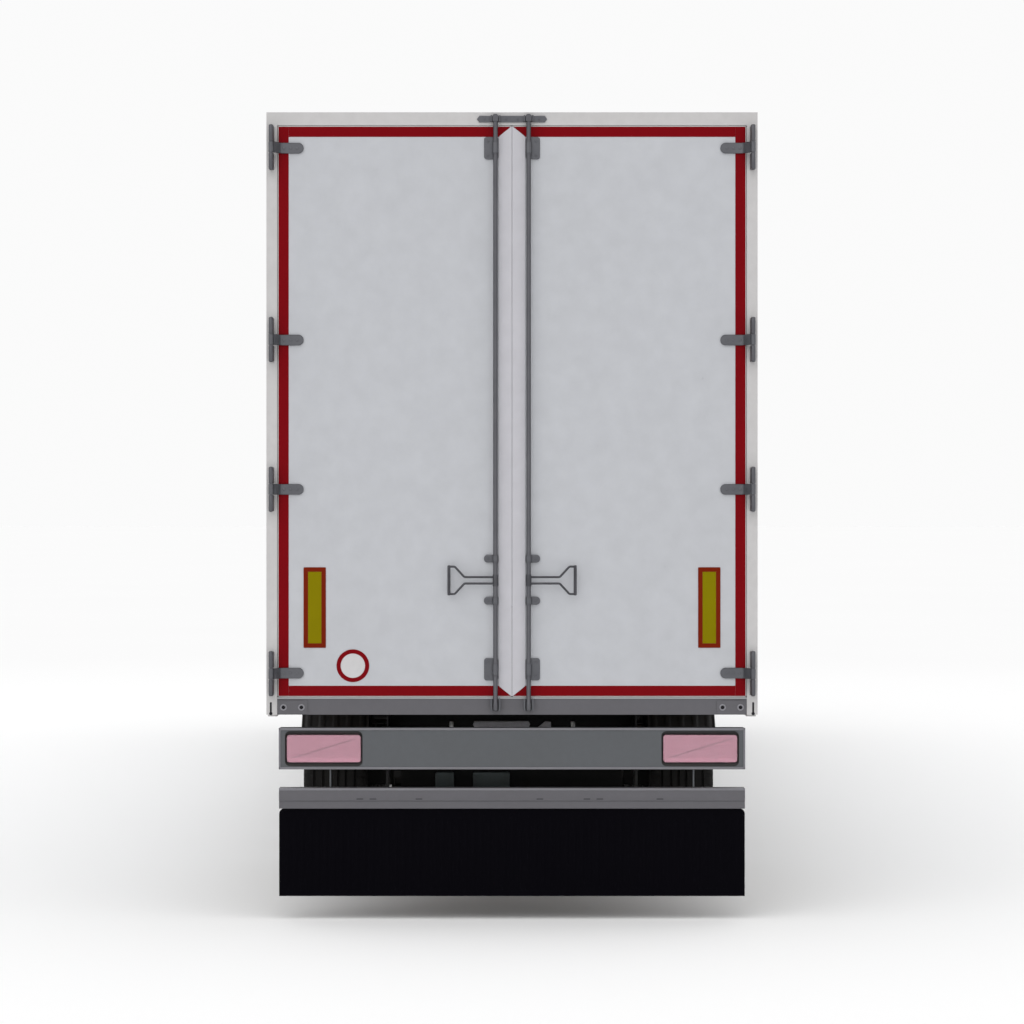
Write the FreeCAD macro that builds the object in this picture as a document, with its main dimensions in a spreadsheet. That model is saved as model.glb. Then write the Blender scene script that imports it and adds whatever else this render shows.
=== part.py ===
import FreeCAD, Part
import math
import os
import Sketcher

# Semi trailer with a closed box body, rear doors, three axles and landing legs.
# Frame: X to the right as seen from behind, Y forward, Z up, origin on the ground
# under the middle of the trailer. All lengths are millimetres.

# Driving sizes, kept in the sheet under these names.
SIZES = (
    # box body
    ("box_width", 2550),
    ("box_length", 13600),
    ("roof_top", 4193),
    ("floor_top", 1190),
    ("floor_thickness", 28),
    ("wall_thickness", 30),
    ("wall_inset", 4),
    ("roof_sink", 5),
    ("front_thickness", 40),
    ("roof_thickness", 35),
    ("corner_radius", 90),
    ("corner_leg", 110),
    ("roof_rail_width", 40),
    ("roof_rail_depth", 80),
    ("roof_rail_round", 18),
    ("base_rail_width", 48),
    ("base_rail_bottom", 1050),
    ("plate_gauge", 8),
    # rear frame and sill
    ("post_face", 56),
    ("header_face", 68),
    ("frame_depth", 100),
    ("sill_bottom", 1066),
    ("sill_top", 1156),
    ("sill_plate_width", 153),
    ("sill_plate_depth", 70),
    ("sill_plate_gauge", 5),
    ("sill_plate_inset", 3),
    ("sill_plate_round", 8),
    ("bolt_hole_radius", 11),
    ("bolt_hole_edge", 30),
    # doors
    ("door_thickness", 32),
    ("door_gap", 6),
    ("meeting_gap", 8),
    ("strip_width", 138),
    ("strip_thickness", 4),
    ("strip_taper", 55),
    ("hinge_inset", 28),
    ("hinge_offset", 60),
    ("hinge_radius", 13),
    ("hinge_pin_radius", 8),
    ("hinge_height", 226),
    ("hinge_play", 3),
    ("strap_height", 55),
    ("strap_reach", 166),
    ("strap_gauge", 8),
    ("strap_neck", 20),
    ("hinge_top_inset", 113),
    ("hinge_bottom_inset", 120),
    ("hinge_upper_share", 0.625),
    ("hinge_lower_share", 0.363),
    ("lock_side_offset", 86),
    ("lock_offset", 32),
    ("lock_radius", 14),
    ("lock_top_inset", 14),
    ("lock_bottom_inset", 21),
    ("guide_width", 75),
    ("guide_height", 116),
    ("guide_round", 14),
    ("guide_gauge", 8),
    ("guide_play", 1),
    ("guide_top_inset", 113),
    ("guide_bottom_inset", 140),
    ("clip_width", 76),
    ("clip_height", 41),
    ("clip_upper_rise", 714),
    ("clip_lower_rise", 496),
    ("handle_rise", 602),
    ("handle_gauge", 14),
    ("handle_bar", 13),
    ("handle_slot", 13),
    ("handle_neck_x", 247),
    ("handle_flare_x", 297),
    ("handle_grip_x", 335),
    ("handle_grip_height", 156),
    ("keeper_half_width", 182),
    ("keeper_point", 12),
    ("keeper_height", 34),
    ("keeper_inset", 36),
    ("keeper_gauge", 5),
    ("keeper_reach", 38),
    ("socket_height", 62),
    ("socket_inset", 22),
    # rear bars and flap
    ("bar_inset", 65),
    ("bar_depth", 80),
    ("light_bar_top", 996),
    ("light_bar_bottom", 783),
    ("light_bar_round", 6),
    ("lamp_width", 403),
    ("lamp_height", 182),
    ("lamp_round", 26),
    ("lamp_edge", 31),
    ("lamp_sink", 25),
    ("lamp_lens_width", 383),
    ("lamp_lens_height", 148),
    ("lamp_lens_rise", 8),
    ("under_run_top", 684),
    ("under_run_bottom", 577),
    ("under_run_crease", 615),
    ("under_run_lip", 6),
    ("bar_arm_gauge", 12),
    ("bar_arm_top_length", 420),
    ("bar_arm_foot_length", 110),
    ("flap_bottom", 122),
    ("flap_thickness", 10),
    ("flap_setback", 16),
    ("flap_round", 27),
    # chassis
    ("rail_gap", 395),
    ("rail_flange", 120),
    ("rail_web", 8),
    ("rail_flange_gauge", 14),
    ("rail_bottom", 740),
    ("rail_rear_bottom", 960),
    ("neck_length", 2900),
    ("neck_slope", 650),
    ("rail_front_setback", 120),
    ("rail_taper_start", 2150),
    ("member_flange", 50),
    ("member_gauge", 6),
    ("member_count", 27),
    ("member_setback", 250),
    ("member_front_setback", 350),
    ("cross_beam_setback", 355),
    ("cross_beam_depth", 330),
    ("cross_beam_flange", 60),
    ("coupler_edge", 10),
    ("coupler_front", 115),
    ("coupler_rear", 2700),
    ("coupler_gauge", 10),
    ("coupler_ramp", 45),
    ("pin_setback", 1650),
    ("pin_flange_radius", 75),
    ("pin_flange_gauge", 12),
    ("pin_upper_radius", 36.5),
    ("pin_groove_radius", 25.4),
    ("pin_lower_radius", 35.7),
    ("pin_upper_length", 30),
    ("pin_groove_length", 35),
    ("pin_lower_length", 14),
    ("pin_taper", 5),
    # running gear
    ("axle_rear_distance", 2890),
    ("axle_spacing", 1310),
    ("axle_count", 3),
    ("axle_height", 498),
    ("axle_beam", 130),
    ("back_plate_gap", 165),
    ("axle_round", 22),
    ("back_plate_radius", 200),
    ("back_plate_gauge", 8),
    ("spindle_radius", 45),
    ("wheel_inset", 230),
    ("wheel_play", 0.3),
    ("tyre_radius", 498),
    ("tyre_half_width", 193),
    ("seat_radius", 288),
    ("rim_half_width", 149),
    ("rim_flange_radius", 305),
    ("rim_gauge", 12),
    ("hand_hole_radius", 26),
    ("hand_hole_circle", 205),
    ("hand_hole_count", 10),
    ("rim_ledge_share", 0.6),
    ("rim_groove_share", 0.45),
    ("rim_well_depth", 36),
    ("rim_dish_depth", 24),
    ("disc_face_share", 0.78),
    ("bead_toe_share", 0.75),
    ("tyre_crown_share", 0.95),
    ("flange_play", 1),
    ("hub_radius", 84),
    ("hub_play", 1.2),
    ("hub_cap_rise", 24),
    ("hub_cap_share", 0.6),
    ("hub_neck_share", 0.85),
    ("drum_end_share", 0.55),
    ("drum_radius", 180),
    ("drum_gauge", 14),
    ("hanger_distance", 500),
    ("hanger_half_length", 120),
    ("hanger_gauge", 10),
    ("pivot_rise", 95),
    ("pivot_radius", 15),
    ("pivot_play", 0.3),
    ("eye_radius", 52),
    ("arm_width", 80),
    ("arm_depth", 70),
    ("arm_tail", 500),
    ("arm_seat_half", 105),
    ("arm_tail_rise", 25),
    ("arm_tail_depth", 37),
    ("hanger_play", 2),
    ("spring_distance", 390),
    ("spring_radius", 135),
    ("spring_lobe", 32),
    ("spring_piston_radius", 82),
    ("spring_piston_height", 42),
    ("spring_plate_radius", 100),
    ("spring_plate_gauge", 14),
    ("chamber_radius", 82),
    ("chamber_length", 150),
    ("chamber_inset", 170),
    ("chamber_bracket", 50),
    ("chamber_gap", 40),
    ("mudguard_gap", 30),
    ("mudguard_gauge", 5),
    ("mudguard_half_width", 205),
    ("mudguard_reach_angle", 58),
    ("stay_radius", 15),
    # landing legs
    ("leg_setback", 4000),
    ("leg_size", 110),
    ("leg_plate_gauge", 10),
    ("leg_plate_width", 200),
    ("leg_top", 1120),
    ("leg_bottom", 420),
    ("leg_plate_bottom", 730),
    ("inner_leg_size", 88),
    ("foot_length", 260),
    ("foot_width", 220),
    ("foot_gauge", 14),
    ("foot_height", 70),
    ("foot_ear_half", 91),
    ("gear_case_width", 150),
    ("gear_case_height", 190),
    ("gear_case_depth", 34),
    ("brace_gauge", 10),
    ("brace_width", 60),
    ("brace_foot", 480),
    ("brace_top", 1010),
    ("shaft_level", 660),
    ("shaft_radius", 18),
    ("crank_inset", 100),
    ("crank_drop", 240),
    ("crank_radius", 11),
    # side protection
    ("guard_front_setback", 4350),
    ("guard_rear_gap", 640),
    ("guard_inset", 35),
    ("guard_depth", 28),
    ("guard_height", 110),
    ("guard_lower", 470),
    ("guard_upper", 790),
    ("guard_post_width", 60),
    ("guard_post_gauge", 30),
    ("guard_post_share", 0.11),
    ("guard_post_count", 4),
    # air tanks and coupling panel
    ("tank_radius", 138),
    ("tank_length", 760),
    ("tank_dome", 60),
    ("tank_offset", 230),
    ("tank_distance", 1490),
    ("tank_level", 860),
    ("tank_strap_share", 0.9),
    ("tank_strap_width", 40),
    ("tank_strap_spacing", 500),
    ("panel_half_width", 300),
    ("panel_height", 150),
    ("panel_gauge", 6),
    ("panel_setback", 70),
    ("coupling_radius", 28),
    ("coupling_length", 45),
    ("coupling_spacing", 150),
    ("coupling_count", 4),
    # one overrun for every cut that goes right through
    ("overrun", 20),
)

# Outlines whose points are shares of a size. The tyre's are shares of its half width
# and of its radius, from the bead to the crown outside and from the crown in again.
TYRE_WALL_SHARES = (
    (0.93, 0.665), (0.99, 0.73), (1, 0.79), (0.99, 0.87), (0.95, 0.935), (0.88, 0.972),
    (0.78, 0.989), (0.45, 0.997))
TYRE_INSIDE_SHARES = ((0.74, 0.94), (0.86, 0.86), (0.87, 0.78), (0.72, 0.66))
TANK_DOME_SHARES = ((0, 0.45), (0.35, 0.85), (1, 1))


class Size:
    """A length, angle or count that carries the sheet formula it comes from."""

    def __init__(self, value, formula):
        self.value = value
        self.formula = formula

    def __add__(self, other):
        other = as_size(other)
        return Size(self.value + other.value, f"({self.formula} + {other.formula})")

    def __radd__(self, other):
        return as_size(other) + self

    def __sub__(self, other):
        other = as_size(other)
        return Size(self.value - other.value, f"({self.formula} - {other.formula})")

    def __rsub__(self, other):
        return as_size(other) - self

    def __mul__(self, other):
        other = as_size(other)
        return Size(self.value * other.value, f"({self.formula} * {other.formula})")

    def __rmul__(self, other):
        return as_size(other) * self

    def __truediv__(self, other):
        other = as_size(other)
        return Size(self.value / other.value, f"({self.formula} / {other.formula})")

    def __neg__(self):
        return Size(-self.value, f"(0 - {self.formula})")


def as_size(number):
    """Takes a plain number or a size and gives a size."""
    if isinstance(number, Size):
        return number
    return Size(float(number), repr(number))


def sine(angle):
    return Size(math.sin(math.radians(angle.value)), f"sin({angle.formula} * 1 deg)")


def cosine(angle):
    return Size(math.cos(math.radians(angle.value)), f"cos({angle.formula} * 1 deg)")


def fill_sheet(doc):
    """Writes the driving sizes to the sheet and gives them back as named sizes."""
    sheet = doc.addObject("Spreadsheet::Sheet", "Dims")
    sizes = {}
    for row, (name, value) in enumerate(SIZES, start=1):
        sheet.set(f"A{row}", name)
        sheet.set(f"B{row}", str(value))
        sheet.setAlias(f"B{row}", name)
        sizes[name] = Size(float(value), f"Dims.{name}")
    doc.recompute()
    return type("Dimensions", (), sizes)


DOC = FreeCAD.newDocument("SemiTrailer")
D = fill_sheet(DOC)
NODES = []


# Helpers for outlines. A corner is (x, y), or (x, y, radius) where an arc leaves it:
# a positive radius turns left and a negative one turns right.

def rectangle(x0, y0, x1, y1):
    return [(x0, y0), (x1, y0), (x1, y1), (x0, y1)]


def rounded(x0, y0, x1, y1, radius):
    return [
        (x0 + radius, y0), (x1 - radius, y0, radius),
        (x1, y0 + radius), (x1, y1 - radius, radius),
        (x1 - radius, y1), (x0 + radius, y1, radius),
        (x0, y1 - radius), (x0, y0 + radius, radius),
    ]


def disc(x, y, radius):
    return ("disc", x, y, radius)


def bind(thing, name, size):
    """Ties one property of an object to its formula in the sheet."""
    thing.setExpression(name, as_size(size).formula)


def fix_point(sketch, edge, end, x, y):
    """Holds one end of an edge at a place given by two formulas."""
    for kind, size in (("DistanceX", as_size(x)), ("DistanceY", as_size(y))):
        index = sketch.addConstraint(Sketcher.Constraint(kind, edge, end, size.value))
        bind(sketch, f"Constraints[{index}]", size)


def fix_radius(sketch, edge, radius):
    index = sketch.addConstraint(Sketcher.Constraint("Radius", edge, radius.value))
    bind(sketch, f"Constraints[{index}]", radius)


def arc_between(start, end, radius):
    """An arc from start to end: it turns left for a positive radius."""
    chord = end - start
    middle = (start + end) * 0.5
    rise = math.sqrt(max(radius ** 2 - (chord.Length / 2) ** 2, 0))
    side = FreeCAD.Vector(-chord.y, chord.x, 0).normalize() * math.copysign(rise, radius)
    centre = middle + side
    first, last = (start, end) if radius > 0 else (end, start)
    angles = [math.atan2(point.y - centre.y, point.x - centre.x) for point in (first, last)]
    if angles[1] < angles[0]:
        angles[1] += 2 * math.pi
    circle = Part.Circle(centre, FreeCAD.Vector(0, 0, 1), abs(radius))
    return Part.ArcOfCircle(circle, *angles)


def draw_disc(sketch, loop):
    x, y, radius = (as_size(size) for size in loop[1:])
    centre = FreeCAD.Vector(x.value, y.value, 0)
    edge = sketch.addGeometry(Part.Circle(centre, FreeCAD.Vector(0, 0, 1), radius.value))
    fix_point(sketch, edge, 3, x, y)
    fix_radius(sketch, edge, radius)


def draw_loop(sketch, loop):
    """Draws one closed outline and fixes each of its corners by the sheet."""
    corners = [tuple(as_size(size) for size in corner) for corner in loop]
    points = [FreeCAD.Vector(corner[0].value, corner[1].value, 0) for corner in corners]
    ends = []
    for index, corner in enumerate(corners):
        start = points[index]
        end = points[(index + 1) % len(points)]
        if len(corner) == 2:
            edge = sketch.addGeometry(Part.LineSegment(start, end))
            ends.append((edge, 1, 2))
        else:
            edge = sketch.addGeometry(arc_between(start, end, corner[2].value))
            ends.append((edge, 1, 2) if corner[2].value > 0 else (edge, 2, 1))
    for index, (edge, start, end) in enumerate(ends):
        following = ends[(index + 1) % len(ends)]
        sketch.addConstraint(
            Sketcher.Constraint("Coincident", edge, end, following[0], following[1]))
        fix_point(sketch, edge, start, corners[index][0], corners[index][1])
        if len(corners[index]) == 3:
            radius = corners[index][2]
            fix_radius(sketch, edge, radius if radius.value > 0 else -radius)


def sketch_on(body, role, loops, start):
    """A sketch with closed outlines on one of the body's own planes, or beside it."""
    plane = [item for item in body.Origin.OriginFeatures if item.Role == f"{role}_Plane"][0]
    sketch = body.newObject("Sketcher::SketchObject", f"{body.Name}_outline")
    sketch.AttachmentSupport = [(plane, "")]
    sketch.MapMode = "FlatFace"
    if as_size(start).value != 0:
        bind(sketch, "AttachmentOffset.Base.z", -start if role == "XZ" else start)
    for loop in loops:
        if loop[0] == "disc":
            draw_disc(sketch, loop)
        else:
            draw_loop(sketch, loop)
    return sketch


def place(thing, x=0, y=0, z=0):
    """Puts an object at a place given by formulas."""
    for axis, size in (("x", x), ("y", y), ("z", z)):
        if as_size(size).value != 0:
            bind(thing, f"Placement.Base.{axis}", size)
    return thing


def new_body(label, x=0, y=0, z=0):
    body = DOC.addObject("PartDesign::Body", label)
    body.Label = label
    return place(body, x, y, z)


def pad(body, role, loops, length, start=0, both=False):
    """Extrudes outlines along the axis across the plane, from start, or both ways."""
    feature = body.newObject("PartDesign::Pad", f"{body.Name}_pad")
    feature.Profile = sketch_on(body, role, loops, start)
    bind(feature, "Length", length)
    if both:
        feature.SideType = "Symmetric"
    feature.Reversed = role == "XZ" and not both
    return feature


def cut(body, role, loops, length, start=0, both=False):
    """Cuts outlines out of the body along the axis across the plane."""
    DOC.recompute()
    before = body.Shape.Volume
    feature = body.newObject("PartDesign::Pocket", f"{body.Name}_pocket")
    feature.Profile = sketch_on(body, role, loops, start)
    bind(feature, "Length", length)
    if both:
        feature.SideType = "Symmetric"
    feature.Reversed = role != "XZ" and not both
    DOC.recompute()
    if body.Shape.Volume >= before:
        raise RuntimeError(f"{feature.Label} cuts nothing")
    return feature


def axis_of(body, role):
    return [item for item in body.Origin.OriginFeatures if item.Role == f"{role}_Axis"][0]


def plane_of(body, role):
    return [item for item in body.Origin.OriginFeatures if item.Role == f"{role}_Plane"][0]


def revolve(body, role, loops, axis):
    feature = body.newObject("PartDesign::Revolution", f"{body.Name}_turn")
    feature.Profile = sketch_on(body, role, loops, 0)
    feature.ReferenceAxis = (axis_of(body, axis), [""])
    feature.Angle = 360
    return feature


def repeat(body, axis, pitch, count):
    """Repeats the whole body along an axis."""
    DOC.recompute()
    feature = body.newObject("PartDesign::LinearPattern", f"{body.Name}_row")
    feature.TransformMode = "Whole shape"
    feature.Direction = (axis_of(body, axis), [""])
    bind(feature, "Length", pitch * (count - 1))
    bind(feature, "Occurrences", count)
    body.Tip = feature
    return feature


def repeat_round(body, axis, source, count):
    feature = body.newObject("PartDesign::PolarPattern", f"{body.Name}_ring")
    feature.Originals = [source]
    feature.Axis = (axis_of(body, axis), [""])
    feature.Angle = 360
    bind(feature, "Occurrences", count)
    body.Tip = feature
    return feature


def both_sides(body):
    """Adds the body's mirror image on the other side of the trailer."""
    DOC.recompute()
    feature = body.newObject("PartDesign::Mirrored", f"{body.Name}_pair")
    feature.TransformMode = "Whole shape"
    feature.MirrorPlane = (plane_of(body, "YZ"), [""])
    body.Tip = feature
    return feature


def mirrored(label, source):
    """The same piece on the other side of the trailer."""
    twin = DOC.addObject("Part::Mirroring", label)
    twin.Label = label
    twin.Source = source
    twin.Normal = FreeCAD.Vector(1, 0, 0)
    return twin


def together(label, pieces):
    group = DOC.addObject("Part::Compound", label)
    group.Label = label
    group.Links = pieces
    return group


def node(thing):
    """Marks an object as a piece of its own."""
    NODES.append(thing)
    return thing


def block(label, low, high):
    """A plain block between two corners."""
    box = DOC.addObject("Part::Box", label)
    box.Label = label
    for name, start, end in zip(("Length", "Width", "Height"), low, high):
        bind(box, name, end - start)
    return place(box, *low)


# Places worked out from the driving sizes.
HALF_WIDTH = D.box_width / 2
REAR_REACH = D.hinge_offset + D.hinge_radius
FRONT = (D.box_length + REAR_REACH) / 2
REAR = FRONT - D.box_length
FRAME_INNER = REAR + D.frame_depth
CORNER_END = FRONT - D.corner_leg
FLOOR_UNDER = D.floor_top - D.floor_thickness
ROOF_UNDER = D.roof_top - D.roof_sink - D.roof_thickness
WALL_FACE = HALF_WIDTH - D.wall_inset
POST_INNER = HALF_WIDTH - D.post_face
HEADER_BOTTOM = D.roof_top - D.header_face
DOOR_EDGE = POST_INNER - D.door_gap
DOOR_TOP = HEADER_BOTTOM - D.door_gap
DOOR_BOTTOM = D.sill_top + D.door_gap
HINGE_X = HALF_WIDTH - D.hinge_inset
HINGE_Y = REAR - D.hinge_offset
BAR_HALF_WIDTH = HALF_WIDTH - D.bar_inset
GUARD_X = HALF_WIDTH - D.guard_inset
WHEEL_X = HALF_WIDTH - D.wheel_inset
RAIL_X = WHEEL_X - D.rail_gap
HALF_BEAM = WHEEL_X - D.back_plate_gap
CRANK_X = HALF_WIDTH - D.crank_inset
LOCK_Y = REAR - D.lock_offset
NECK_BOTTOM = D.base_rail_bottom
MEMBER_BOTTOM = NECK_BOTTOM + D.rail_flange_gauge
AXLE_REAR = REAR + D.axle_rear_distance
AXLE_FRONT = AXLE_REAR + D.axle_spacing * (D.axle_count - 1)
DOOR_HEIGHT = DOOR_TOP - DOOR_BOTTOM
HINGE_LEVELS = (
    DOOR_TOP - D.hinge_top_inset, DOOR_BOTTOM + DOOR_HEIGHT * D.hinge_upper_share,
    DOOR_BOTTOM + DOOR_HEIGHT * D.hinge_lower_share, DOOR_BOTTOM + D.hinge_bottom_inset)
GUIDE_LEVELS = (DOOR_TOP - D.guide_top_inset, DOOR_BOTTOM + D.guide_bottom_inset)
CLIP_LEVELS = (DOOR_BOTTOM + D.clip_upper_rise, DOOR_BOTTOM + D.clip_lower_rise)
HANDLE_LEVEL = DOOR_BOTTOM + D.handle_rise
KEEPER_LEVEL = D.roof_top - D.keeper_inset
MEMBER_PITCH = (
    (D.box_length - D.member_setback - D.member_front_setback) / (D.member_count - 1))


# Box body

def load_floor():
    edge = HALF_WIDTH - D.base_rail_width
    body = new_body("load_floor", z=FLOOR_UNDER)
    pad(body, "XY", [deck_outline(edge)], D.floor_thickness)
    node(body)


def roof_panel():
    body = new_body("roof_panel", z=ROOF_UNDER)
    pad(body, "XY", [deck_outline(HALF_WIDTH - D.roof_rail_width)], D.roof_thickness)
    node(body)


def deck_outline(edge):
    """A flat deck from the rear frame to the front wall with cut front corners."""
    front = FRONT - D.front_thickness
    step = D.corner_radius - D.front_thickness
    return [
        (-edge, FRAME_INNER), (edge, FRAME_INNER),
        (edge, front - step), (edge - step, front),
        (step - edge, front), (-edge, front - step),
    ]


def side_walls():
    low = (WALL_FACE - D.wall_thickness, FRAME_INNER, D.floor_top)
    high = (WALL_FACE, CORNER_END, D.roof_top - D.roof_rail_depth)
    right = node(block("side_wall_right", low, high))
    node(mirrored("side_wall_left", right))


def front_wall():
    edge = HALF_WIDTH - D.corner_leg
    low = (-edge, FRONT - D.front_thickness, D.base_rail_bottom)
    high = (edge, FRONT - D.wall_inset, D.roof_top)
    node(block("front_wall", low, high))


def front_posts():
    """Rounded corner posts between the front wall and the side walls."""
    inner = HALF_WIDTH - D.front_thickness
    back = FRONT - D.front_thickness
    inner_radius = D.corner_radius - D.front_thickness
    outline = [
        (HALF_WIDTH - D.corner_leg, back), (HALF_WIDTH - D.corner_radius, back, -inner_radius),
        (inner, FRONT - D.corner_radius), (inner, CORNER_END),
        (HALF_WIDTH, CORNER_END), (HALF_WIDTH, FRONT - D.corner_radius, D.corner_radius),
        (HALF_WIDTH - D.corner_radius, FRONT), (HALF_WIDTH - D.corner_leg, FRONT),
    ]
    body = new_body("front_posts", z=D.base_rail_bottom)
    pad(body, "XY", [outline], D.roof_top - D.base_rail_bottom)
    both_sides(body)
    node(body)


def roof_rails():
    low = D.roof_top - D.roof_rail_depth
    inner = HALF_WIDTH - D.roof_rail_width
    outline = [
        (inner, low), (HALF_WIDTH, low),
        (HALF_WIDTH, D.roof_top - D.roof_rail_round, D.roof_rail_round),
        (HALF_WIDTH - D.roof_rail_round, D.roof_top), (inner, D.roof_top),
    ]
    body = new_body("roof_rails")
    pad(body, "XZ", [outline], CORNER_END - FRAME_INNER, FRAME_INNER)
    both_sides(body)
    node(body)


def base_rails():
    """Channels along the lower edges, open outwards, that carry the side walls."""
    inner = HALF_WIDTH - D.base_rail_width
    low = D.base_rail_bottom
    high = D.floor_top
    outline = [
        (inner, low), (HALF_WIDTH, low), (HALF_WIDTH, low + D.plate_gauge),
        (inner + D.plate_gauge, low + D.plate_gauge),
        (inner + D.plate_gauge, high - D.plate_gauge),
        (HALF_WIDTH, high - D.plate_gauge), (HALF_WIDTH, high), (inner, high),
    ]
    body = new_body("base_rails")
    pad(body, "XZ", [outline], CORNER_END - FRAME_INNER, FRAME_INNER)
    both_sides(body)
    node(body)


# Rear frame and doors

def rear_frame():
    """Two posts joined by the header."""
    outline = [
        (-HALF_WIDTH, D.sill_bottom), (-POST_INNER, D.sill_bottom),
        (-POST_INNER, HEADER_BOTTOM), (POST_INNER, HEADER_BOTTOM),
        (POST_INNER, D.sill_bottom), (HALF_WIDTH, D.sill_bottom),
        (HALF_WIDTH, D.roof_top), (-HALF_WIDTH, D.roof_top),
    ]
    body = new_body("rear_frame")
    pad(body, "XZ", [outline], D.frame_depth, REAR)
    node(body)


def rear_sill():
    """The sill with its step behind the doors and a bolted plate at each end."""
    step = D.door_thickness + D.door_gap
    outline = [
        (REAR, D.sill_bottom), (FRAME_INNER, D.sill_bottom),
        (FRAME_INNER, D.floor_top), (REAR + step, D.floor_top),
        (REAR + step, D.sill_top), (REAR, D.sill_top),
    ]
    body = new_body("rear_sill")
    pad(body, "YZ", [outline], POST_INNER * 2, both=True)
    outer = POST_INNER - D.sill_plate_inset
    inner = outer - D.sill_plate_width
    low = D.sill_bottom + D.sill_plate_inset
    high = low + D.sill_plate_depth
    middle = (low + high) / 2
    plates = [rounded(inner, low, outer, high, D.sill_plate_round)]
    plates += [rounded(-outer, low, -inner, high, D.sill_plate_round)]
    holes = []
    for edge in (inner + D.bolt_hole_edge, outer - D.bolt_hole_edge):
        holes += [disc(edge, middle, D.bolt_hole_radius), disc(-edge, middle, D.bolt_hole_radius)]
    pad(body, "XZ", plates + holes, D.sill_plate_gauge, REAR - D.sill_plate_gauge)
    node(body)


def lug_outline():
    """A hinge lug seen from above: a round end on a web that reaches the post."""
    radius = D.hinge_radius
    return [
        (radius, D.hinge_offset), (-radius, D.hinge_offset), (-radius, 0, radius),
        (0, -radius, radius), (radius, 0),
    ]


def hinge_bracket(index, level):
    """Two lugs on the post with the hinge pin between them."""
    half = D.hinge_height / 2
    gap = D.strap_height / 2 + D.hinge_play
    body = new_body(f"hinge_bracket_{index}", HINGE_X, HINGE_Y, level)
    pad(body, "XY", [lug_outline()], half - gap, gap)
    pad(body, "XY", [lug_outline()], half - gap, -half)
    pad(body, "XY", [disc(0, 0, D.hinge_pin_radius)], D.hinge_height, both=True)
    return body


def strap_outline():
    """A hinge strap seen from above, about its pin: a flat tongue with a swan neck."""
    radius = D.hinge_radius
    face = D.hinge_offset
    back = face - D.strap_gauge
    edge = HINGE_X - DOOR_EDGE
    gauge = D.strap_gauge
    return [
        (-D.strap_reach, face), (gauge - D.strap_reach, back),
        (-edge - D.strap_neck, back), (-radius, 0, radius), (0, -radius, radius), (radius, 0),
        (-edge + gauge / 2, back), (-edge - gauge / 2, face),
    ]


def hinge_strap(index, level):
    body = new_body(f"hinge_strap_{index}", HINGE_X, HINGE_Y, level)
    bore = disc(0, 0, D.hinge_pin_radius + D.pivot_play)
    pad(body, "XY", [strap_outline(), bore], D.strap_height, both=True)
    return body


def hinges():
    brackets = [hinge_bracket(index, level) for index, level in enumerate(HINGE_LEVELS)]
    right = together("hinge_brackets_right", brackets)
    left = mirrored("hinge_brackets_left", right)
    node(together("hinge_brackets", [right, left]))
    straps = [hinge_strap(index, level) for index, level in enumerate(HINGE_LEVELS)]
    right = node(together("door_hinges_right", straps))
    node(mirrored("door_hinges_left", right))


def door_panels():
    """A flat leaf with half of the pointed strip that covers the meeting line."""
    edge = D.meeting_gap / 2
    half = D.strip_width / 2
    leaf = rectangle(edge, DOOR_BOTTOM, DOOR_EDGE, DOOR_TOP)
    strip = [
        (edge, DOOR_BOTTOM), (half, DOOR_BOTTOM + D.strip_taper),
        (half, DOOR_TOP - D.strip_taper), (edge, DOOR_TOP),
    ]
    body = new_body("door_panel_right")
    pad(body, "XZ", [leaf], D.door_thickness, REAR)
    pad(body, "XZ", [strip], D.strip_thickness, REAR - D.strip_thickness)
    right = node(body)
    node(mirrored("door_panel_left", right))


def handle_outline():
    """The lock handle seen from behind: two bars that flare out to an upright grip."""
    bar = D.handle_slot / 2 + D.handle_bar
    middle = HANDLE_LEVEL
    corner = D.handle_bar / 2
    half = D.handle_grip_height / 2 + corner
    grip = D.handle_grip_x
    return [
        (D.lock_side_offset, middle - bar), (D.handle_neck_x, middle - bar),
        (D.handle_flare_x, middle - half), (grip - corner, middle - half, corner),
        (grip, middle - half + corner), (grip, middle + half - corner, corner),
        (grip - corner, middle + half), (D.handle_flare_x, middle + half),
        (D.handle_neck_x, middle + bar), (D.lock_side_offset, middle + bar),
    ]


def handle_window():
    """The opening between the two bars of the handle and its grip."""
    slot = D.handle_slot / 2
    middle = HANDLE_LEVEL
    half = D.handle_grip_height / 2 - D.handle_bar / 2
    inner = D.handle_grip_x - D.handle_bar
    start = D.lock_side_offset + D.lock_radius * 2
    return [
        (start, middle - slot), (D.handle_neck_x + slot, middle - slot),
        (D.handle_flare_x + slot, middle - half), (inner, middle - half),
        (inner, middle + half), (D.handle_flare_x + slot, middle + half),
        (D.handle_neck_x + slot, middle + slot), (start, middle + slot),
    ]


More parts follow.
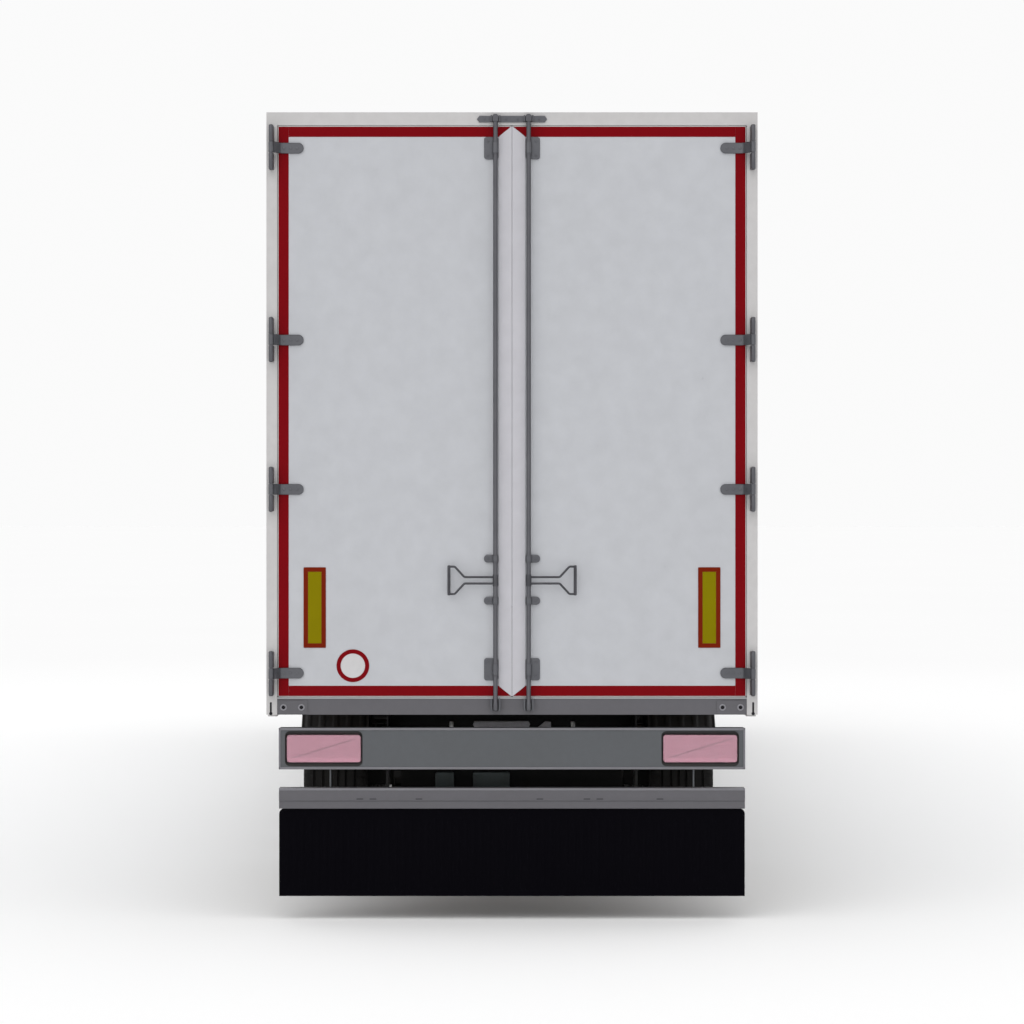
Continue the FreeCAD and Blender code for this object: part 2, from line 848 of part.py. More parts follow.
def lock_gear():
    """The lock rod with its end cams, saddles, clips, hub and handle."""
    body = new_body("lock_gear_right")
    rod = disc(D.lock_side_offset, LOCK_Y, D.lock_radius)
    foot = D.sill_bottom + D.lock_bottom_inset
    pad(body, "XY", [rod], D.roof_top - D.lock_top_inset - foot, foot)
    inner = D.strip_width / 2 + D.guide_play
    saddle = D.lock_side_offset - inner
    for level in GUIDE_LEVELS:
        half = D.guide_height / 2
        plate = rounded(inner, level - half, inner + D.guide_width, level + half, D.guide_round)
        pad(body, "XZ", [plate], D.guide_gauge, REAR - D.guide_gauge)
        cheek = rectangle(inner, level - half / 2, D.lock_side_offset + saddle, level + half / 2)
        pad(body, "XZ", [cheek], D.lock_offset + saddle, REAR - D.lock_offset - saddle)
    for level in CLIP_LEVELS:
        half = D.clip_height / 2
        clip = rounded(inner, level - half, inner + D.clip_width, level + half, D.guide_round)
        pad(body, "XZ", [clip], D.lock_offset, REAR - D.lock_offset)
    handle = D.handle_gauge
    pad(body, "XZ", [handle_outline(), handle_window()], handle, LOCK_Y - handle / 2)
    node(body)
    node(mirrored("lock_gear_left", body))


def lock_keepers():
    """The keeper plate with its pointed ends on the header, and the two sockets on the
    sill."""
    body = new_body("lock_keepers")
    half = D.keeper_height / 2
    tip = D.keeper_half_width
    floor = KEEPER_LEVEL - half
    crown = KEEPER_LEVEL + half
    shoulder = tip - D.keeper_point
    plate = [
        (-shoulder, floor), (shoulder, floor), (tip, KEEPER_LEVEL),
        (shoulder, crown), (-shoulder, crown), (-tip, KEEPER_LEVEL),
    ]
    pad(body, "XZ", [plate], D.keeper_gauge, REAR - D.keeper_gauge)
    clear = D.lock_radius + D.door_gap
    outer = clear + D.plate_gauge
    cheeks = []
    for side in (-D.lock_side_offset, D.lock_side_offset):
        cheeks.append(rectangle(side - outer, floor, side - clear, crown))
        cheeks.append(rectangle(side + clear, floor, side + outer, crown))
    pad(body, "XZ", cheeks, D.keeper_reach, REAR - D.keeper_reach)
    low = D.sill_bottom + D.socket_inset
    high = low + D.socket_height
    sockets = []
    plates = []
    for side in (-D.lock_side_offset, D.lock_side_offset):
        plates.append(rectangle(side - outer, low, side + outer, high))
        sockets.append(rectangle(side - outer, low, side - clear, high))
        sockets.append(rectangle(side + clear, low, side + outer, high))
    pad(body, "XZ", plates, D.keeper_gauge, REAR - D.keeper_gauge)
    pad(body, "XZ", sockets, D.keeper_reach, REAR - D.keeper_reach)
    node(body)


# Rear bars, lamps and flap

def lamp_box():
    """The corners of the right lamp's housing as seen from behind."""
    outer = BAR_HALF_WIDTH - D.lamp_edge
    middle = (D.light_bar_top + D.light_bar_bottom) / 2
    half = D.lamp_height / 2
    return outer - D.lamp_width, middle - half, outer, middle + half


def light_bar():
    outline = rounded(-BAR_HALF_WIDTH, D.light_bar_bottom, BAR_HALF_WIDTH,
                      D.light_bar_top, D.light_bar_round)
    body = new_body("light_bar")
    pad(body, "XZ", [outline], D.bar_depth, REAR)
    x0, z0, x1, z1 = lamp_box()
    recesses = [rounded(x0, z0, x1, z1, D.lamp_round), rounded(-x1, z0, -x0, z1, D.lamp_round)]
    cut(body, "XZ", recesses, D.lamp_sink, REAR)
    node(body)


def rear_lamps():
    body = new_body("rear_lamps")
    x0, z0, x1, z1 = lamp_box()
    housing = rounded(x0, z0, x1, z1, D.lamp_round)
    pad(body, "XZ", [housing], D.lamp_sink, REAR)
    middle_x = (x0 + x1) / 2
    middle_z = (z0 + z1) / 2
    half_x = D.lamp_lens_width / 2
    half_z = D.lamp_lens_height / 2
    lens = rounded(middle_x - half_x, middle_z - half_z, middle_x + half_x, middle_z + half_z,
                   D.lamp_round / 2)
    pad(body, "XZ", [lens], D.lamp_lens_rise, REAR - D.lamp_lens_rise)
    both_sides(body)
    node(body)


def under_run_bar():
    """The under-run beam with the two arms that hang it and the light bar on the rails."""
    lip = D.under_run_lip
    profile = [
        (REAR + lip, D.under_run_bottom), (REAR + D.bar_depth, D.under_run_bottom),
        (REAR + D.bar_depth, D.under_run_top), (REAR, D.under_run_top),
        (REAR, D.under_run_crease + lip), (REAR + lip, D.under_run_crease),
    ]
    body = new_body("under_run_bar")
    pad(body, "YZ", [profile], BAR_HALF_WIDTH * 2, both=True)
    back = REAR + D.bar_depth
    arm = [
        (back, D.under_run_bottom), (back + D.bar_arm_foot_length, D.under_run_bottom),
        (FRAME_INNER + D.bar_arm_top_length, D.rail_rear_bottom), (back, D.rail_rear_bottom),
    ]
    half = D.bar_arm_gauge / 2
    pad(body, "YZ", [arm], D.bar_arm_gauge, RAIL_X - half)
    pad(body, "YZ", [arm], D.bar_arm_gauge, -RAIL_X - half)
    node(body)


def rear_flap():
    low = D.flap_bottom
    high = D.under_run_bottom
    edge = BAR_HALF_WIDTH
    outline = [
        (-edge, low), (edge, low), (edge, high - D.flap_round, D.flap_round),
        (edge - D.flap_round, high), (D.flap_round - edge, high, D.flap_round),
        (-edge, high - D.flap_round),
    ]
    body = new_body("rear_flap")
    pad(body, "XZ", [outline], D.flap_thickness, REAR + D.flap_setback)
    node(body)


# Chassis

def rail_line(lift):
    """The lower edge of a main rail from front to rear, raised by a lift."""
    return [
        (FRONT - D.rail_front_setback, NECK_BOTTOM + lift),
        (FRONT - D.neck_length, NECK_BOTTOM + lift),
        (FRONT - D.neck_length - D.neck_slope, D.rail_bottom + lift),
        (REAR + D.rail_taper_start, D.rail_bottom + lift),
        (FRAME_INNER + D.bar_arm_top_length, D.rail_rear_bottom + lift),
        (FRAME_INNER, D.rail_rear_bottom + lift),
    ]


def main_rails():
    """Two welded beams with a shallow neck at the front and a deep rear part."""
    body = new_body("main_rail_right", x=RAIL_X)
    gauge = D.rail_flange_gauge
    front = FRONT - D.rail_front_setback
    web = rail_line(0) + [(FRAME_INNER, FLOOR_UNDER), (front, FLOOR_UNDER)]
    pad(body, "YZ", [web], D.rail_web, both=True)
    top = rectangle(FRAME_INNER, FLOOR_UNDER - gauge, front, FLOOR_UNDER)
    pad(body, "YZ", [top], D.rail_flange, both=True)
    foot = rail_line(0) + list(reversed(rail_line(gauge)))
    pad(body, "YZ", [foot], D.rail_flange, both=True)
    twin = mirrored("main_rail_left", body)
    node(together("main_rails", [body, twin]))


def cross_members():
    """Channels under the floor, coped round the top flanges and webs of the rails."""
    gauge = D.member_gauge
    flange = D.member_flange
    profile = [
        (0, MEMBER_BOTTOM), (flange, MEMBER_BOTTOM), (flange, MEMBER_BOTTOM + gauge),
        (gauge, MEMBER_BOTTOM + gauge), (gauge, FLOOR_UNDER - gauge),
        (flange, FLOOR_UNDER - gauge), (flange, FLOOR_UNDER), (0, FLOOR_UNDER),
    ]
    body = new_body("cross_members", y=REAR + D.member_setback)
    pad(body, "YZ", [profile], (HALF_WIDTH - D.base_rail_width) * 2, both=True)
    repeat(body, "Y", MEMBER_PITCH, D.member_count)
    copes = []
    for side in (-RAIL_X, RAIL_X):
        half = D.rail_flange / 2
        web = D.rail_web / 2
        shoulder = FLOOR_UNDER - D.rail_flange_gauge
        copes.append([
            (side - web, MEMBER_BOTTOM - D.overrun), (side + web, MEMBER_BOTTOM - D.overrun),
            (side + web, shoulder), (side + half, shoulder),
            (side + half, FLOOR_UNDER + D.overrun), (side - half, FLOOR_UNDER + D.overrun),
            (side - half, shoulder), (side - web, shoulder),
        ])
    cut(body, "XZ", copes, D.box_length, -D.overrun)
    node(body)


def rear_cross_beam():
    """A deep flanged plate that joins the rails above and ahead of the under-run bar."""
    gauge = D.rail_flange_gauge
    throat = RAIL_X - D.rail_flange / 2
    reach = RAIL_X - D.rail_web / 2
    shelf = D.rail_rear_bottom + gauge
    top = FLOOR_UNDER - gauge
    low = D.rail_rear_bottom - D.cross_beam_depth
    place_y = FRAME_INNER + D.cross_beam_setback
    web = [
        (-throat, low), (throat, low), (throat, shelf), (reach, shelf),
        (reach, top), (-reach, top), (-reach, shelf), (-throat, shelf),
    ]
    body = new_body("rear_cross_beam")
    pad(body, "XZ", [web], D.plate_gauge, place_y)
    lip = rectangle(-throat, low, throat, low + D.plate_gauge)
    pad(body, "XZ", [lip], D.cross_beam_flange, place_y - D.cross_beam_flange)
    node(body)


def coupler_plate():
    """The plate that rests on the towing vehicle, with a turned-up front edge."""
    top = NECK_BOTTOM
    front = FRONT - D.coupler_front
    rear = FRONT - D.coupler_rear
    gauge = D.coupler_gauge
    ramp = D.coupler_ramp
    profile = [
        (rear, top - gauge), (front, top - gauge), (front + ramp, top + ramp - gauge),
        (front + ramp, top + ramp), (front, top), (rear, top),
    ]
    body = new_body("coupler_plate")
    pad(body, "YZ", [profile], (RAIL_X - D.coupler_edge) * 2, both=True)
    node(body)


def king_pin():
    """The coupling pin, turned about the vertical."""
    body = new_body("king_pin", y=FRONT - D.pin_setback, z=NECK_BOTTOM - D.coupler_gauge)
    first = D.pin_flange_gauge
    second = first + D.pin_upper_length
    third = second + D.pin_groove_length
    last = third + D.pin_lower_length
    profile = [
        (0, 0), (0, -last), (D.pin_lower_radius - D.pin_taper, -last),
        (D.pin_lower_radius, D.pin_taper - last), (D.pin_lower_radius, -third),
        (D.pin_groove_radius, -third), (D.pin_groove_radius, -second),
        (D.pin_upper_radius, -second), (D.pin_upper_radius, -first),
        (D.pin_flange_radius, -first), (D.pin_flange_radius, 0),
    ]
    revolve(body, "XZ", [profile], "Z")
    node(body)


# Running gear

def axles():
    """Three square beams with spindles, back plates and brake chambers."""
    body = new_body("axles", y=AXLE_REAR, z=D.axle_height)
    half = D.axle_beam / 2
    beam = rounded(-half, -half, half, half, D.axle_round)
    pad(body, "YZ", [beam], HALF_BEAM * 2, both=True)
    plate = disc(0, 0, D.back_plate_radius)
    pad(body, "YZ", [plate], D.back_plate_gauge, HALF_BEAM)
    pad(body, "YZ", [plate], D.back_plate_gauge, -HALF_BEAM - D.back_plate_gauge)
    spindle = disc(0, 0, D.spindle_radius)
    pad(body, "YZ", [spindle], (WHEEL_X + D.rim_half_width) * 2, both=True)
    behind = -half - D.chamber_gap
    level = D.chamber_radius
    for side in (D.chamber_inset - RAIL_X, RAIL_X - D.chamber_inset):
        chamber = disc(side, level, D.chamber_radius)
        pad(body, "XZ", [chamber], D.chamber_length, behind - D.chamber_length)
        bracket = rectangle(side - D.chamber_bracket / 2, -half + D.axle_round,
                            side + D.chamber_bracket / 2, half - D.axle_round)
        pad(body, "XZ", [bracket], D.chamber_gap, behind)
    repeat(body, "Y", D.axle_spacing, D.axle_count)
    node(body)


def arm_outline():
    """A trailing arm seen from the right, about its axle: eye, axle seat and tail."""
    seat = D.axle_beam / 2
    top = seat + D.arm_depth
    half = D.arm_seat_half
    ahead = D.hanger_distance
    eye = D.eye_radius
    rise = D.pivot_rise
    tail = D.arm_tail_rise
    return [
        (-half, seat), (half, seat), (ahead, rise - eye, eye), (ahead + eye, rise, eye),
        (ahead, rise + eye), (half, top), (-half, top),
        (D.spring_plate_radius - D.spring_distance, tail + D.arm_tail_depth),
        (-D.arm_tail, tail + D.arm_tail_depth), (-D.arm_tail, tail),
        (D.spring_plate_radius - D.spring_distance, tail),
    ]


def trailing_arms():
    body = new_body("trailing_arm_right", RAIL_X, AXLE_REAR, D.axle_height)
    bore = disc(D.hanger_distance, D.pivot_rise, D.pivot_radius + D.pivot_play)
    pad(body, "YZ", [arm_outline(), bore], D.arm_width, both=True)
    repeat(body, "Y", D.axle_spacing, D.axle_count)
    node(together("trailing_arms", [body, mirrored("trailing_arm_left", body)]))


def suspension_hangers():
    """Brackets under the rails: two cheeks, a front web and the pivot bolt."""
    body = new_body("suspension_hanger_right", RAIL_X, AXLE_REAR + D.hanger_distance, D.axle_height)
    top = D.rail_bottom - D.axle_height
    half = D.hanger_half_length
    low = D.pivot_rise - D.eye_radius
    cheek = [
        (-half / 2, low), (half / 2, low), (half, D.pivot_rise), (half, top),
        (-half, top), (-half, D.pivot_rise + D.eye_radius),
    ]
    inner = D.arm_width / 2 + D.hanger_play
    outer = inner + D.hanger_gauge
    pad(body, "YZ", [cheek], D.hanger_gauge, inner)
    pad(body, "YZ", [cheek], D.hanger_gauge, -outer)
    web = rectangle(-inner, D.pivot_rise, inner, top)
    pad(body, "XZ", [web], D.hanger_gauge, half - D.hanger_gauge)
    bolt = disc(0, D.pivot_rise, D.pivot_radius)
    pad(body, "YZ", [bolt], outer * 2, both=True)
    repeat(body, "Y", D.axle_spacing, D.axle_count)
    node(together("suspension_hangers", [body, mirrored("suspension_hanger_left", body)]))


def air_springs():
    """Rolling-lobe bellows between the tails of the arms and the rails."""
    seat = D.axle_height + D.arm_tail_rise + D.arm_tail_depth
    body = new_body("air_spring_right", RAIL_X, AXLE_REAR - D.spring_distance, seat)
    total = D.rail_bottom - seat
    lobe = D.spring_lobe
    radius = D.spring_radius
    piston = D.spring_piston_radius
    foot = D.spring_piston_height
    crown = total - D.spring_plate_gauge
    profile = [
        (0, 0), (piston, 0), (piston, foot), (radius - lobe, foot, lobe), (radius, foot + lobe),
        (radius, crown - lobe, lobe), (radius - lobe, crown), (D.spring_plate_radius, crown),
        (D.spring_plate_radius, total), (0, total),
    ]
    revolve(body, "XZ", [profile], "Z")
    repeat(body, "Y", D.axle_spacing, D.axle_count)
    node(together("air_springs", [body, mirrored("air_spring_left", body)]))


def mudguards():
    """A half-round guard over each wheel with two stays to the main rail."""
    inner = D.tyre_radius + D.mudguard_gap
    outer = inner + D.mudguard_gauge
    sweep = D.mudguard_reach_angle
    across = sine(sweep)
    up = cosine(sweep)
    outline = [
        (inner * across, inner * up), (outer * across, outer * up, outer),
        (0, outer, outer), (-outer * across, outer * up),
        (-inner * across, inner * up, -inner), (0, inner, -inner),
    ]
    body = new_body("mudguard_right", WHEEL_X, AXLE_REAR, D.axle_height)
    pad(body, "YZ", [outline], D.mudguard_half_width * 2, both=True)
    centre = outer + D.stay_radius - D.mudguard_gauge / 2
    reach = RAIL_X + D.rail_web / 2 - WHEEL_X
    for side in (-1, 1):
        stay = disc(centre * across * side, centre * up, D.stay_radius)
        pad(body, "YZ", [stay], D.mudguard_half_width - reach, reach)
    repeat(body, "Y", D.axle_spacing, D.axle_count)
    node(together("mudguards", [body, mirrored("mudguard_left", body)]))


def tyre_profile():
    """The section of the tyre, across it and out from the axle: right side, left side,
    then back along the inside."""
    half = D.tyre_half_width
    tread = D.tyre_radius
    seat = D.seat_radius + D.wheel_play
    flange = D.rim_half_width - D.rim_gauge - D.wheel_play
    over = D.rim_flange_radius + D.flange_play
    toe = D.rim_half_width * D.bead_toe_share
    wall = [(toe, seat), (flange, seat), (flange, over)]
    wall += [(half * across, tread * out) for across, out in TYRE_WALL_SHARES]
    inside = [(half * across, tread * out) for across, out in TYRE_INSIDE_SHARES]
    inside.append((toe, over))
    profile = wall + [(0, tread)]
    profile += [(-x, radius) for x, radius in reversed(wall)]
    profile += [(-x, radius) for x, radius in reversed(inside)]
    profile += [(0, tread * D.tyre_crown_share)]
    profile += inside
    return profile


def rim_profile():
    """The section of rim, disc, drum and hub as one turned piece, outboard to the right."""
    half = D.rim_half_width
    gauge = D.rim_gauge
    lip = gauge / 2
    flange = D.rim_flange_radius
    seat = D.seat_radius
    ledge = half * D.rim_ledge_share
    groove = half * D.rim_groove_share
    well = seat - D.rim_well_depth
    dish = well - D.rim_dish_depth
    bore = D.spindle_radius + D.wheel_play
    hub = D.hub_radius
    drum = D.drum_radius
    drum_inner = drum - D.drum_gauge
    drum_end = half * D.drum_end_share
    face = half * D.disc_face_share
    cap = half + D.hub_cap_rise
    return [
        (half, flange), (half - lip, flange), (half - gauge, seat), (ledge, seat - lip),
        (groove, well), (-groove, well), (-ledge, seat - lip),
        (gauge - half, seat), (lip - half, flange), (-half, flange),
        (-half, flange - gauge), (lip - half, seat - gauge), (-ledge, seat - gauge - lip),
        (-groove, well - gauge), (groove, well - gauge),
        (face - gauge, dish), (face - gauge, drum), (-drum_end, drum), (-drum_end, drum_inner),
        (groove, drum_inner), (groove, hub), (-groove / 2, hub), (-groove / 2, bore),
        (half + D.hub_play, bore), (half + D.hub_play, 0), (cap, 0),
        (cap, hub * D.hub_cap_share), (half + gauge, hub * D.hub_neck_share),
        (face, hub), (face, drum), (face - lip, dish),
        (face, seat - gauge * 2), (half - gauge, seat - gauge), (half, flange - gauge),
    ]


def wheels():
    """Tyre and rim for each end of each axle: the left ones mirror the right ones."""
    names = ("rear", "middle", "front")
    for index, name in enumerate(names):
        along = AXLE_REAR + D.axle_spacing * index
        tyre = new_body(f"tyre_{name}_right", WHEEL_X, along, D.axle_height)
        revolve(tyre, "XZ", [tyre_profile()], "X")
        rim = new_body(f"rim_{name}_right", WHEEL_X, along, D.axle_height)
        revolve(rim, "XZ", [rim_profile()], "X")
        hole = cut(rim, "YZ", [disc(0, D.hand_hole_circle, D.hand_hole_radius)],
                   D.rim_half_width, D.rim_half_width * D.rim_groove_share)
        repeat_round(rim, "X", hole, D.hand_hole_count)
        for right in (tyre, rim):
            node(right)
            node(mirrored(right.Label.replace("right", "left"), right))


# Landing legs and crank

def landing_legs():
    """Square legs bolted to the rails, drawn out so that their feet stand on the ground."""
    body = new_body("landing_leg_right", y=FRONT - D.leg_setback)
    plate_x = RAIL_X + D.rail_flange / 2
    leg_x = plate_x + D.leg_plate_gauge + D.leg_size / 2
    plate = rectangle(-D.leg_plate_width / 2, D.leg_plate_bottom, D.leg_plate_width / 2, D.leg_top)
    pad(body, "YZ", [plate], D.leg_plate_gauge, plate_x)
    half = D.leg_size / 2
    outer = rectangle(leg_x - half, -half, leg_x + half, half)
    pad(body, "XY", [outer], D.leg_top - D.leg_bottom, D.leg_bottom)
    slim = D.inner_leg_size / 2
    inner = rectangle(leg_x - slim, -slim, leg_x + slim, slim)
    pad(body, "XY", [inner], D.leg_bottom - D.foot_gauge, D.foot_gauge)
    foot_x = D.foot_width / 2
    foot_y = D.foot_length / 2
    sole = rounded(leg_x - foot_x, -foot_y, leg_x + foot_x, foot_y, D.foot_gauge)
    pad(body, "XY", [sole], D.foot_gauge)
    ear = [
        (-D.foot_ear_half, D.foot_gauge), (D.foot_ear_half, D.foot_gauge),
        (slim, D.foot_height + D.foot_gauge), (-slim, D.foot_height + D.foot_gauge),
    ]
    for side in (leg_x - slim - D.leg_plate_gauge, leg_x + slim):
        pad(body, "YZ", [ear], D.leg_plate_gauge, side)
    case_y = D.gear_case_width / 2
    case_z = D.gear_case_height / 2
    case = rounded(-case_y, D.shaft_level - case_z, case_y, D.shaft_level + case_z, D.foot_gauge)
    pad(body, "YZ", [case], D.gear_case_depth, leg_x + half)
    node(together("landing_legs", [body, mirrored("landing_leg_left", body)]))


def leg_brace():
    """A tie between the rails with a brace from its middle down to each leg."""
    body = new_body("leg_brace")
    back = FRONT - D.leg_setback - D.leg_size / 2
    reach = RAIL_X - D.rail_web / 2
    low = D.brace_top - D.brace_width
    tie = rectangle(-reach, low, reach, D.brace_top)
    pad(body, "XZ", [tie], D.brace_gauge, back - D.brace_gauge)
    foot = RAIL_X + D.rail_flange / 2 + D.leg_plate_gauge + D.leg_size
    brace = [
        (D.brace_width, low), (0, low), (foot, D.brace_foot), (foot, D.brace_foot + D.brace_width),
    ]
    for side in (1, -1):
        outline = [(x * side, z) for x, z in brace]
        pad(body, "XZ", [outline], D.brace_gauge, back - D.brace_gauge)
    node(body)


def landing_crank():
    """The cross shaft between the legs and the crank on the right."""
    plate_x = RAIL_X + D.rail_flange / 2
    inside = plate_x + D.leg_plate_gauge
    outside = inside + D.leg_size + D.gear_case_depth
    body = new_body("landing_crank", y=FRONT - D.leg_setback)
    pad(body, "YZ", [disc(0, D.shaft_level, D.shaft_radius)], inside * 2, both=True)
    stub = CRANK_X - outside
    pad(body, "YZ", [disc(0, D.shaft_level, D.crank_radius)], stub, outside)
    low = D.shaft_level - D.crank_drop
    half = D.crank_radius
    drop = rounded(CRANK_X - half * 2, low, CRANK_X, D.shaft_level + half, half / 2)
    pad(body, "XZ", [drop], half * 2, -half)
    grip = disc(0, low + half, half)
    pad(body, "YZ", [grip], D.crank_drop / 2, CRANK_X - D.crank_drop / 2)
    node(body)


# Side guards, air tanks and coupling panel

def side_guards():
    """Two rails along each side between the legs and the wheels, on hanging posts."""
    start = AXLE_FRONT + D.guard_rear_gap
    end = FRONT - D.guard_front_setback
    inset = (end - start) * D.guard_post_share
    body = new_body("side_guard_right")
    outer = GUARD_X + D.guard_depth
    rails = []
    for level in (D.guard_lower, D.guard_upper):
        rails.append(rounded(GUARD_X, level, outer, level + D.guard_height, D.guard_depth / 4))
    pad(body, "XZ", rails, end - start, start)
    half = D.guard_post_width / 2
    first = start + inset
    pitch = (end - start - inset * 2) / (D.guard_post_count - 1)
    for index in range(int(D.guard_post_count.value)):
        middle = first + pitch * index
        post = rectangle(middle - half, D.guard_lower, middle + half, D.base_rail_bottom)
        pad(body, "YZ", [post], D.guard_post_gauge, GUARD_X - D.guard_post_gauge)
    node(body)
    node(mirrored("side_guard_left", body))


def air_tanks():
    """Two tanks with domed ends, hung from the cross members by straps."""
    body = new_body("air_tank_right", D.tank_offset, AXLE_FRONT + D.tank_distance, D.tank_level)
    half = D.tank_length / 2
    radius = D.tank_radius
    profile = [(-half, 0), (half, 0)]
    for along, out in TANK_DOME_SHARES:
        profile.append((half - D.tank_dome * along, radius * out))
    for along, out in reversed(TANK_DOME_SHARES):
        profile.append((D.tank_dome * along - half, radius * out))
    revolve(body, "YZ", [profile], "Y")
    half = D.tank_strap_width / 2
    strap = rectangle(-half, radius * D.tank_strap_share, half, MEMBER_BOTTOM - D.tank_level)
    pad(body, "XZ", [strap], D.member_flange, -D.tank_strap_spacing / 2)
    pad(body, "XZ", [strap], D.member_flange, D.tank_strap_spacing / 2 - D.member_flange)
    node(together("air_tanks", [body, mirrored("air_tank_left", body)]))


def coupling_panel():
    """The plate under the front wall that carries the air and lighting couplings."""
    top = D.base_rail_bottom
    face = FRONT - D.panel_setback
    body = new_body("coupling_panel")
    low = top - D.panel_height
    plate = rounded(-D.panel_half_width, low, D.panel_half_width, top, D.panel_gauge)
    pad(body, "XZ", [plate], D.panel_gauge, face - D.panel_gauge)
    ledge = rectangle(-D.panel_half_width, top - D.panel_gauge, D.panel_half_width, top)
    pad(body, "XZ", [ledge], D.panel_setback, face)
    middle = (low + top) / 2
    span = D.coupling_spacing * (D.coupling_count - 1)
    heads = []
    for index in range(int(D.coupling_count.value)):
        heads.append(disc(D.coupling_spacing * index - span / 2, middle, D.coupling_radius))
    pad(body, "XZ", heads, D.coupling_length, face)
    node(body)


def check_document():
    """Stops on any object that failed to build or any piece without a sound solid."""
    DOC.recompute()
    for thing in DOC.Objects:
        if "Invalid" in thing.State or "Error" in thing.State:
            raise RuntimeError(f"{thing.Label} is not built: {thing.State}")
    for thing in DOC.Objects:
        if thing.TypeId == "Sketcher::SketchObject" and not thing.FullyConstrained:
            raise RuntimeError(f"{thing.Label} is not fully fixed")
    for thing in NODES:
        if thing.Shape.isNull() or not thing.Shape.isValid() or thing.Shape.Volume <= 0:
            raise RuntimeError(f"{thing.Label} has no sound solid")


def write_parts():
    os.makedirs("parts", exist_ok=True)
    for thing in NODES:
        thing.Shape.exportStep(os.path.join("parts", f"{thing.Label}.step"))
        print(thing.Label, len(thing.Shape.Solids), round(thing.Shape.Volume / 1e6, 2))
    print("nodes", len(NODES))


for make in (
    load_floor, side_walls, front_wall, front_posts, roof_panel, roof_rails, base_rails,
    rear_frame, rear_sill, hinges, door_panels, lock_gear, lock_keepers,
    light_bar, rear_lamps, under_run_bar, rear_flap,
    main_rails, cross_members, rear_cross_beam, coupler_plate, king_pin,
    axles, trailing_arms, suspension_hangers, air_springs, mudguards, wheels,
    landing_legs, leg_brace, landing_crank, side_guards, air_tanks, coupling_panel,
):
    make()
check_document()
write_parts()
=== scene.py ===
import math

import bpy
import numpy as np
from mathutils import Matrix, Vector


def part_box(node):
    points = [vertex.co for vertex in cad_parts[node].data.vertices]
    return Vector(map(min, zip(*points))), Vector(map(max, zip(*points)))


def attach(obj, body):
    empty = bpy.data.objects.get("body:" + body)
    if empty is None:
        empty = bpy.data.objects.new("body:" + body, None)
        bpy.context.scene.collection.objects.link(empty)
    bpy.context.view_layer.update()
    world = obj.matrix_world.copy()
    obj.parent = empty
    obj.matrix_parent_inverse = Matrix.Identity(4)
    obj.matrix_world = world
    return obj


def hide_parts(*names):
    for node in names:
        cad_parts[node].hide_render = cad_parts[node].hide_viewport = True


bl_info = {
    "name": "Box semi trailer",
    "version": (1, 0, 0),
    "blender": (4, 5, 0),
    "location": "View3D > Sidebar > Trailer",
    "description": "Dresses the packed box semi trailer with its finishes and small pieces",
    "category": "Object",
}

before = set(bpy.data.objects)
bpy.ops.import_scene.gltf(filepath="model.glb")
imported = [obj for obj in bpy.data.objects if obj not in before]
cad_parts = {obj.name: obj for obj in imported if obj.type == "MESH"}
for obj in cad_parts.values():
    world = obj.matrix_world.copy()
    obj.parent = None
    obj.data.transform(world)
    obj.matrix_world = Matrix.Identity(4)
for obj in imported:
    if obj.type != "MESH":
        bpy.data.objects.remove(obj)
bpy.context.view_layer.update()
SIDES = (("right", 1), ("left", -1))
AXLES = ("rear", "middle", "front")


def corners(node):
    """Lowest and highest corner of a CAD node as arrays."""
    low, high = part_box(node)
    return np.array(low), np.array(high)


FRAME_LOW, FRAME_HIGH = corners("rear_frame")
REAR = FRAME_LOW[1]
HALF_WIDTH = FRAME_HIGH[0]
DOOR_LOW, DOOR_HIGH = corners("door_panel_right")
SILL_LOW, SILL_HIGH = corners("rear_sill")
LIGHT_LOW, LIGHT_HIGH = corners("light_bar")
UNDER_LOW, UNDER_HIGH = corners("under_run_bar")
FLAP_LOW, FLAP_HIGH = corners("rear_flap")
TYRE_LOW, TYRE_HIGH = corners("tyre_rear_right")
LOCK_LOW, LOCK_HIGH = corners("lock_gear_right")
KEEPER_LOW, KEEPER_HIGH = corners("lock_keepers")
HINGE_LOW, HINGE_HIGH = corners("hinge_brackets")
WALL_LOW, WALL_HIGH = corners("side_wall_right")
BASE_LOW, BASE_HIGH = corners("base_rails")
FRONT_LOW, FRONT_HIGH = corners("front_wall")
ROOF_LOW, ROOF_HIGH = corners("roof_panel")
SPRING_LOW, SPRING_HIGH = corners("air_springs")
LEG_LOW, LEG_HIGH = corners("landing_legs")
GUARD_LOW, GUARD_HIGH = corners("side_guard_right")
TANK_LOW, TANK_HIGH = corners("air_tanks")
COUPLING_LOW, COUPLING_HIGH = corners("coupling_panel")

# Rear doors, in metres
DOOR_EDGE = DOOR_HIGH[0]
MEETING_EDGE = DOOR_LOW[0]
DOOR_HEIGHT = DOOR_HIGH[2] - DOOR_LOW[2]
TAPE_WIDTH = 0.053
STRIP_HALF = 0.069
STRIP_TAPER = 0.055
MARKING = (0.966, 1.082, 1.413, 1.831)
MARKING_BORDER = 0.023
SIGN_PLACE = (0.826, 1.320)
SIGN_RADIUS = 0.085
SIGN_RING = 0.0215
FIT_GAP = 0.0003

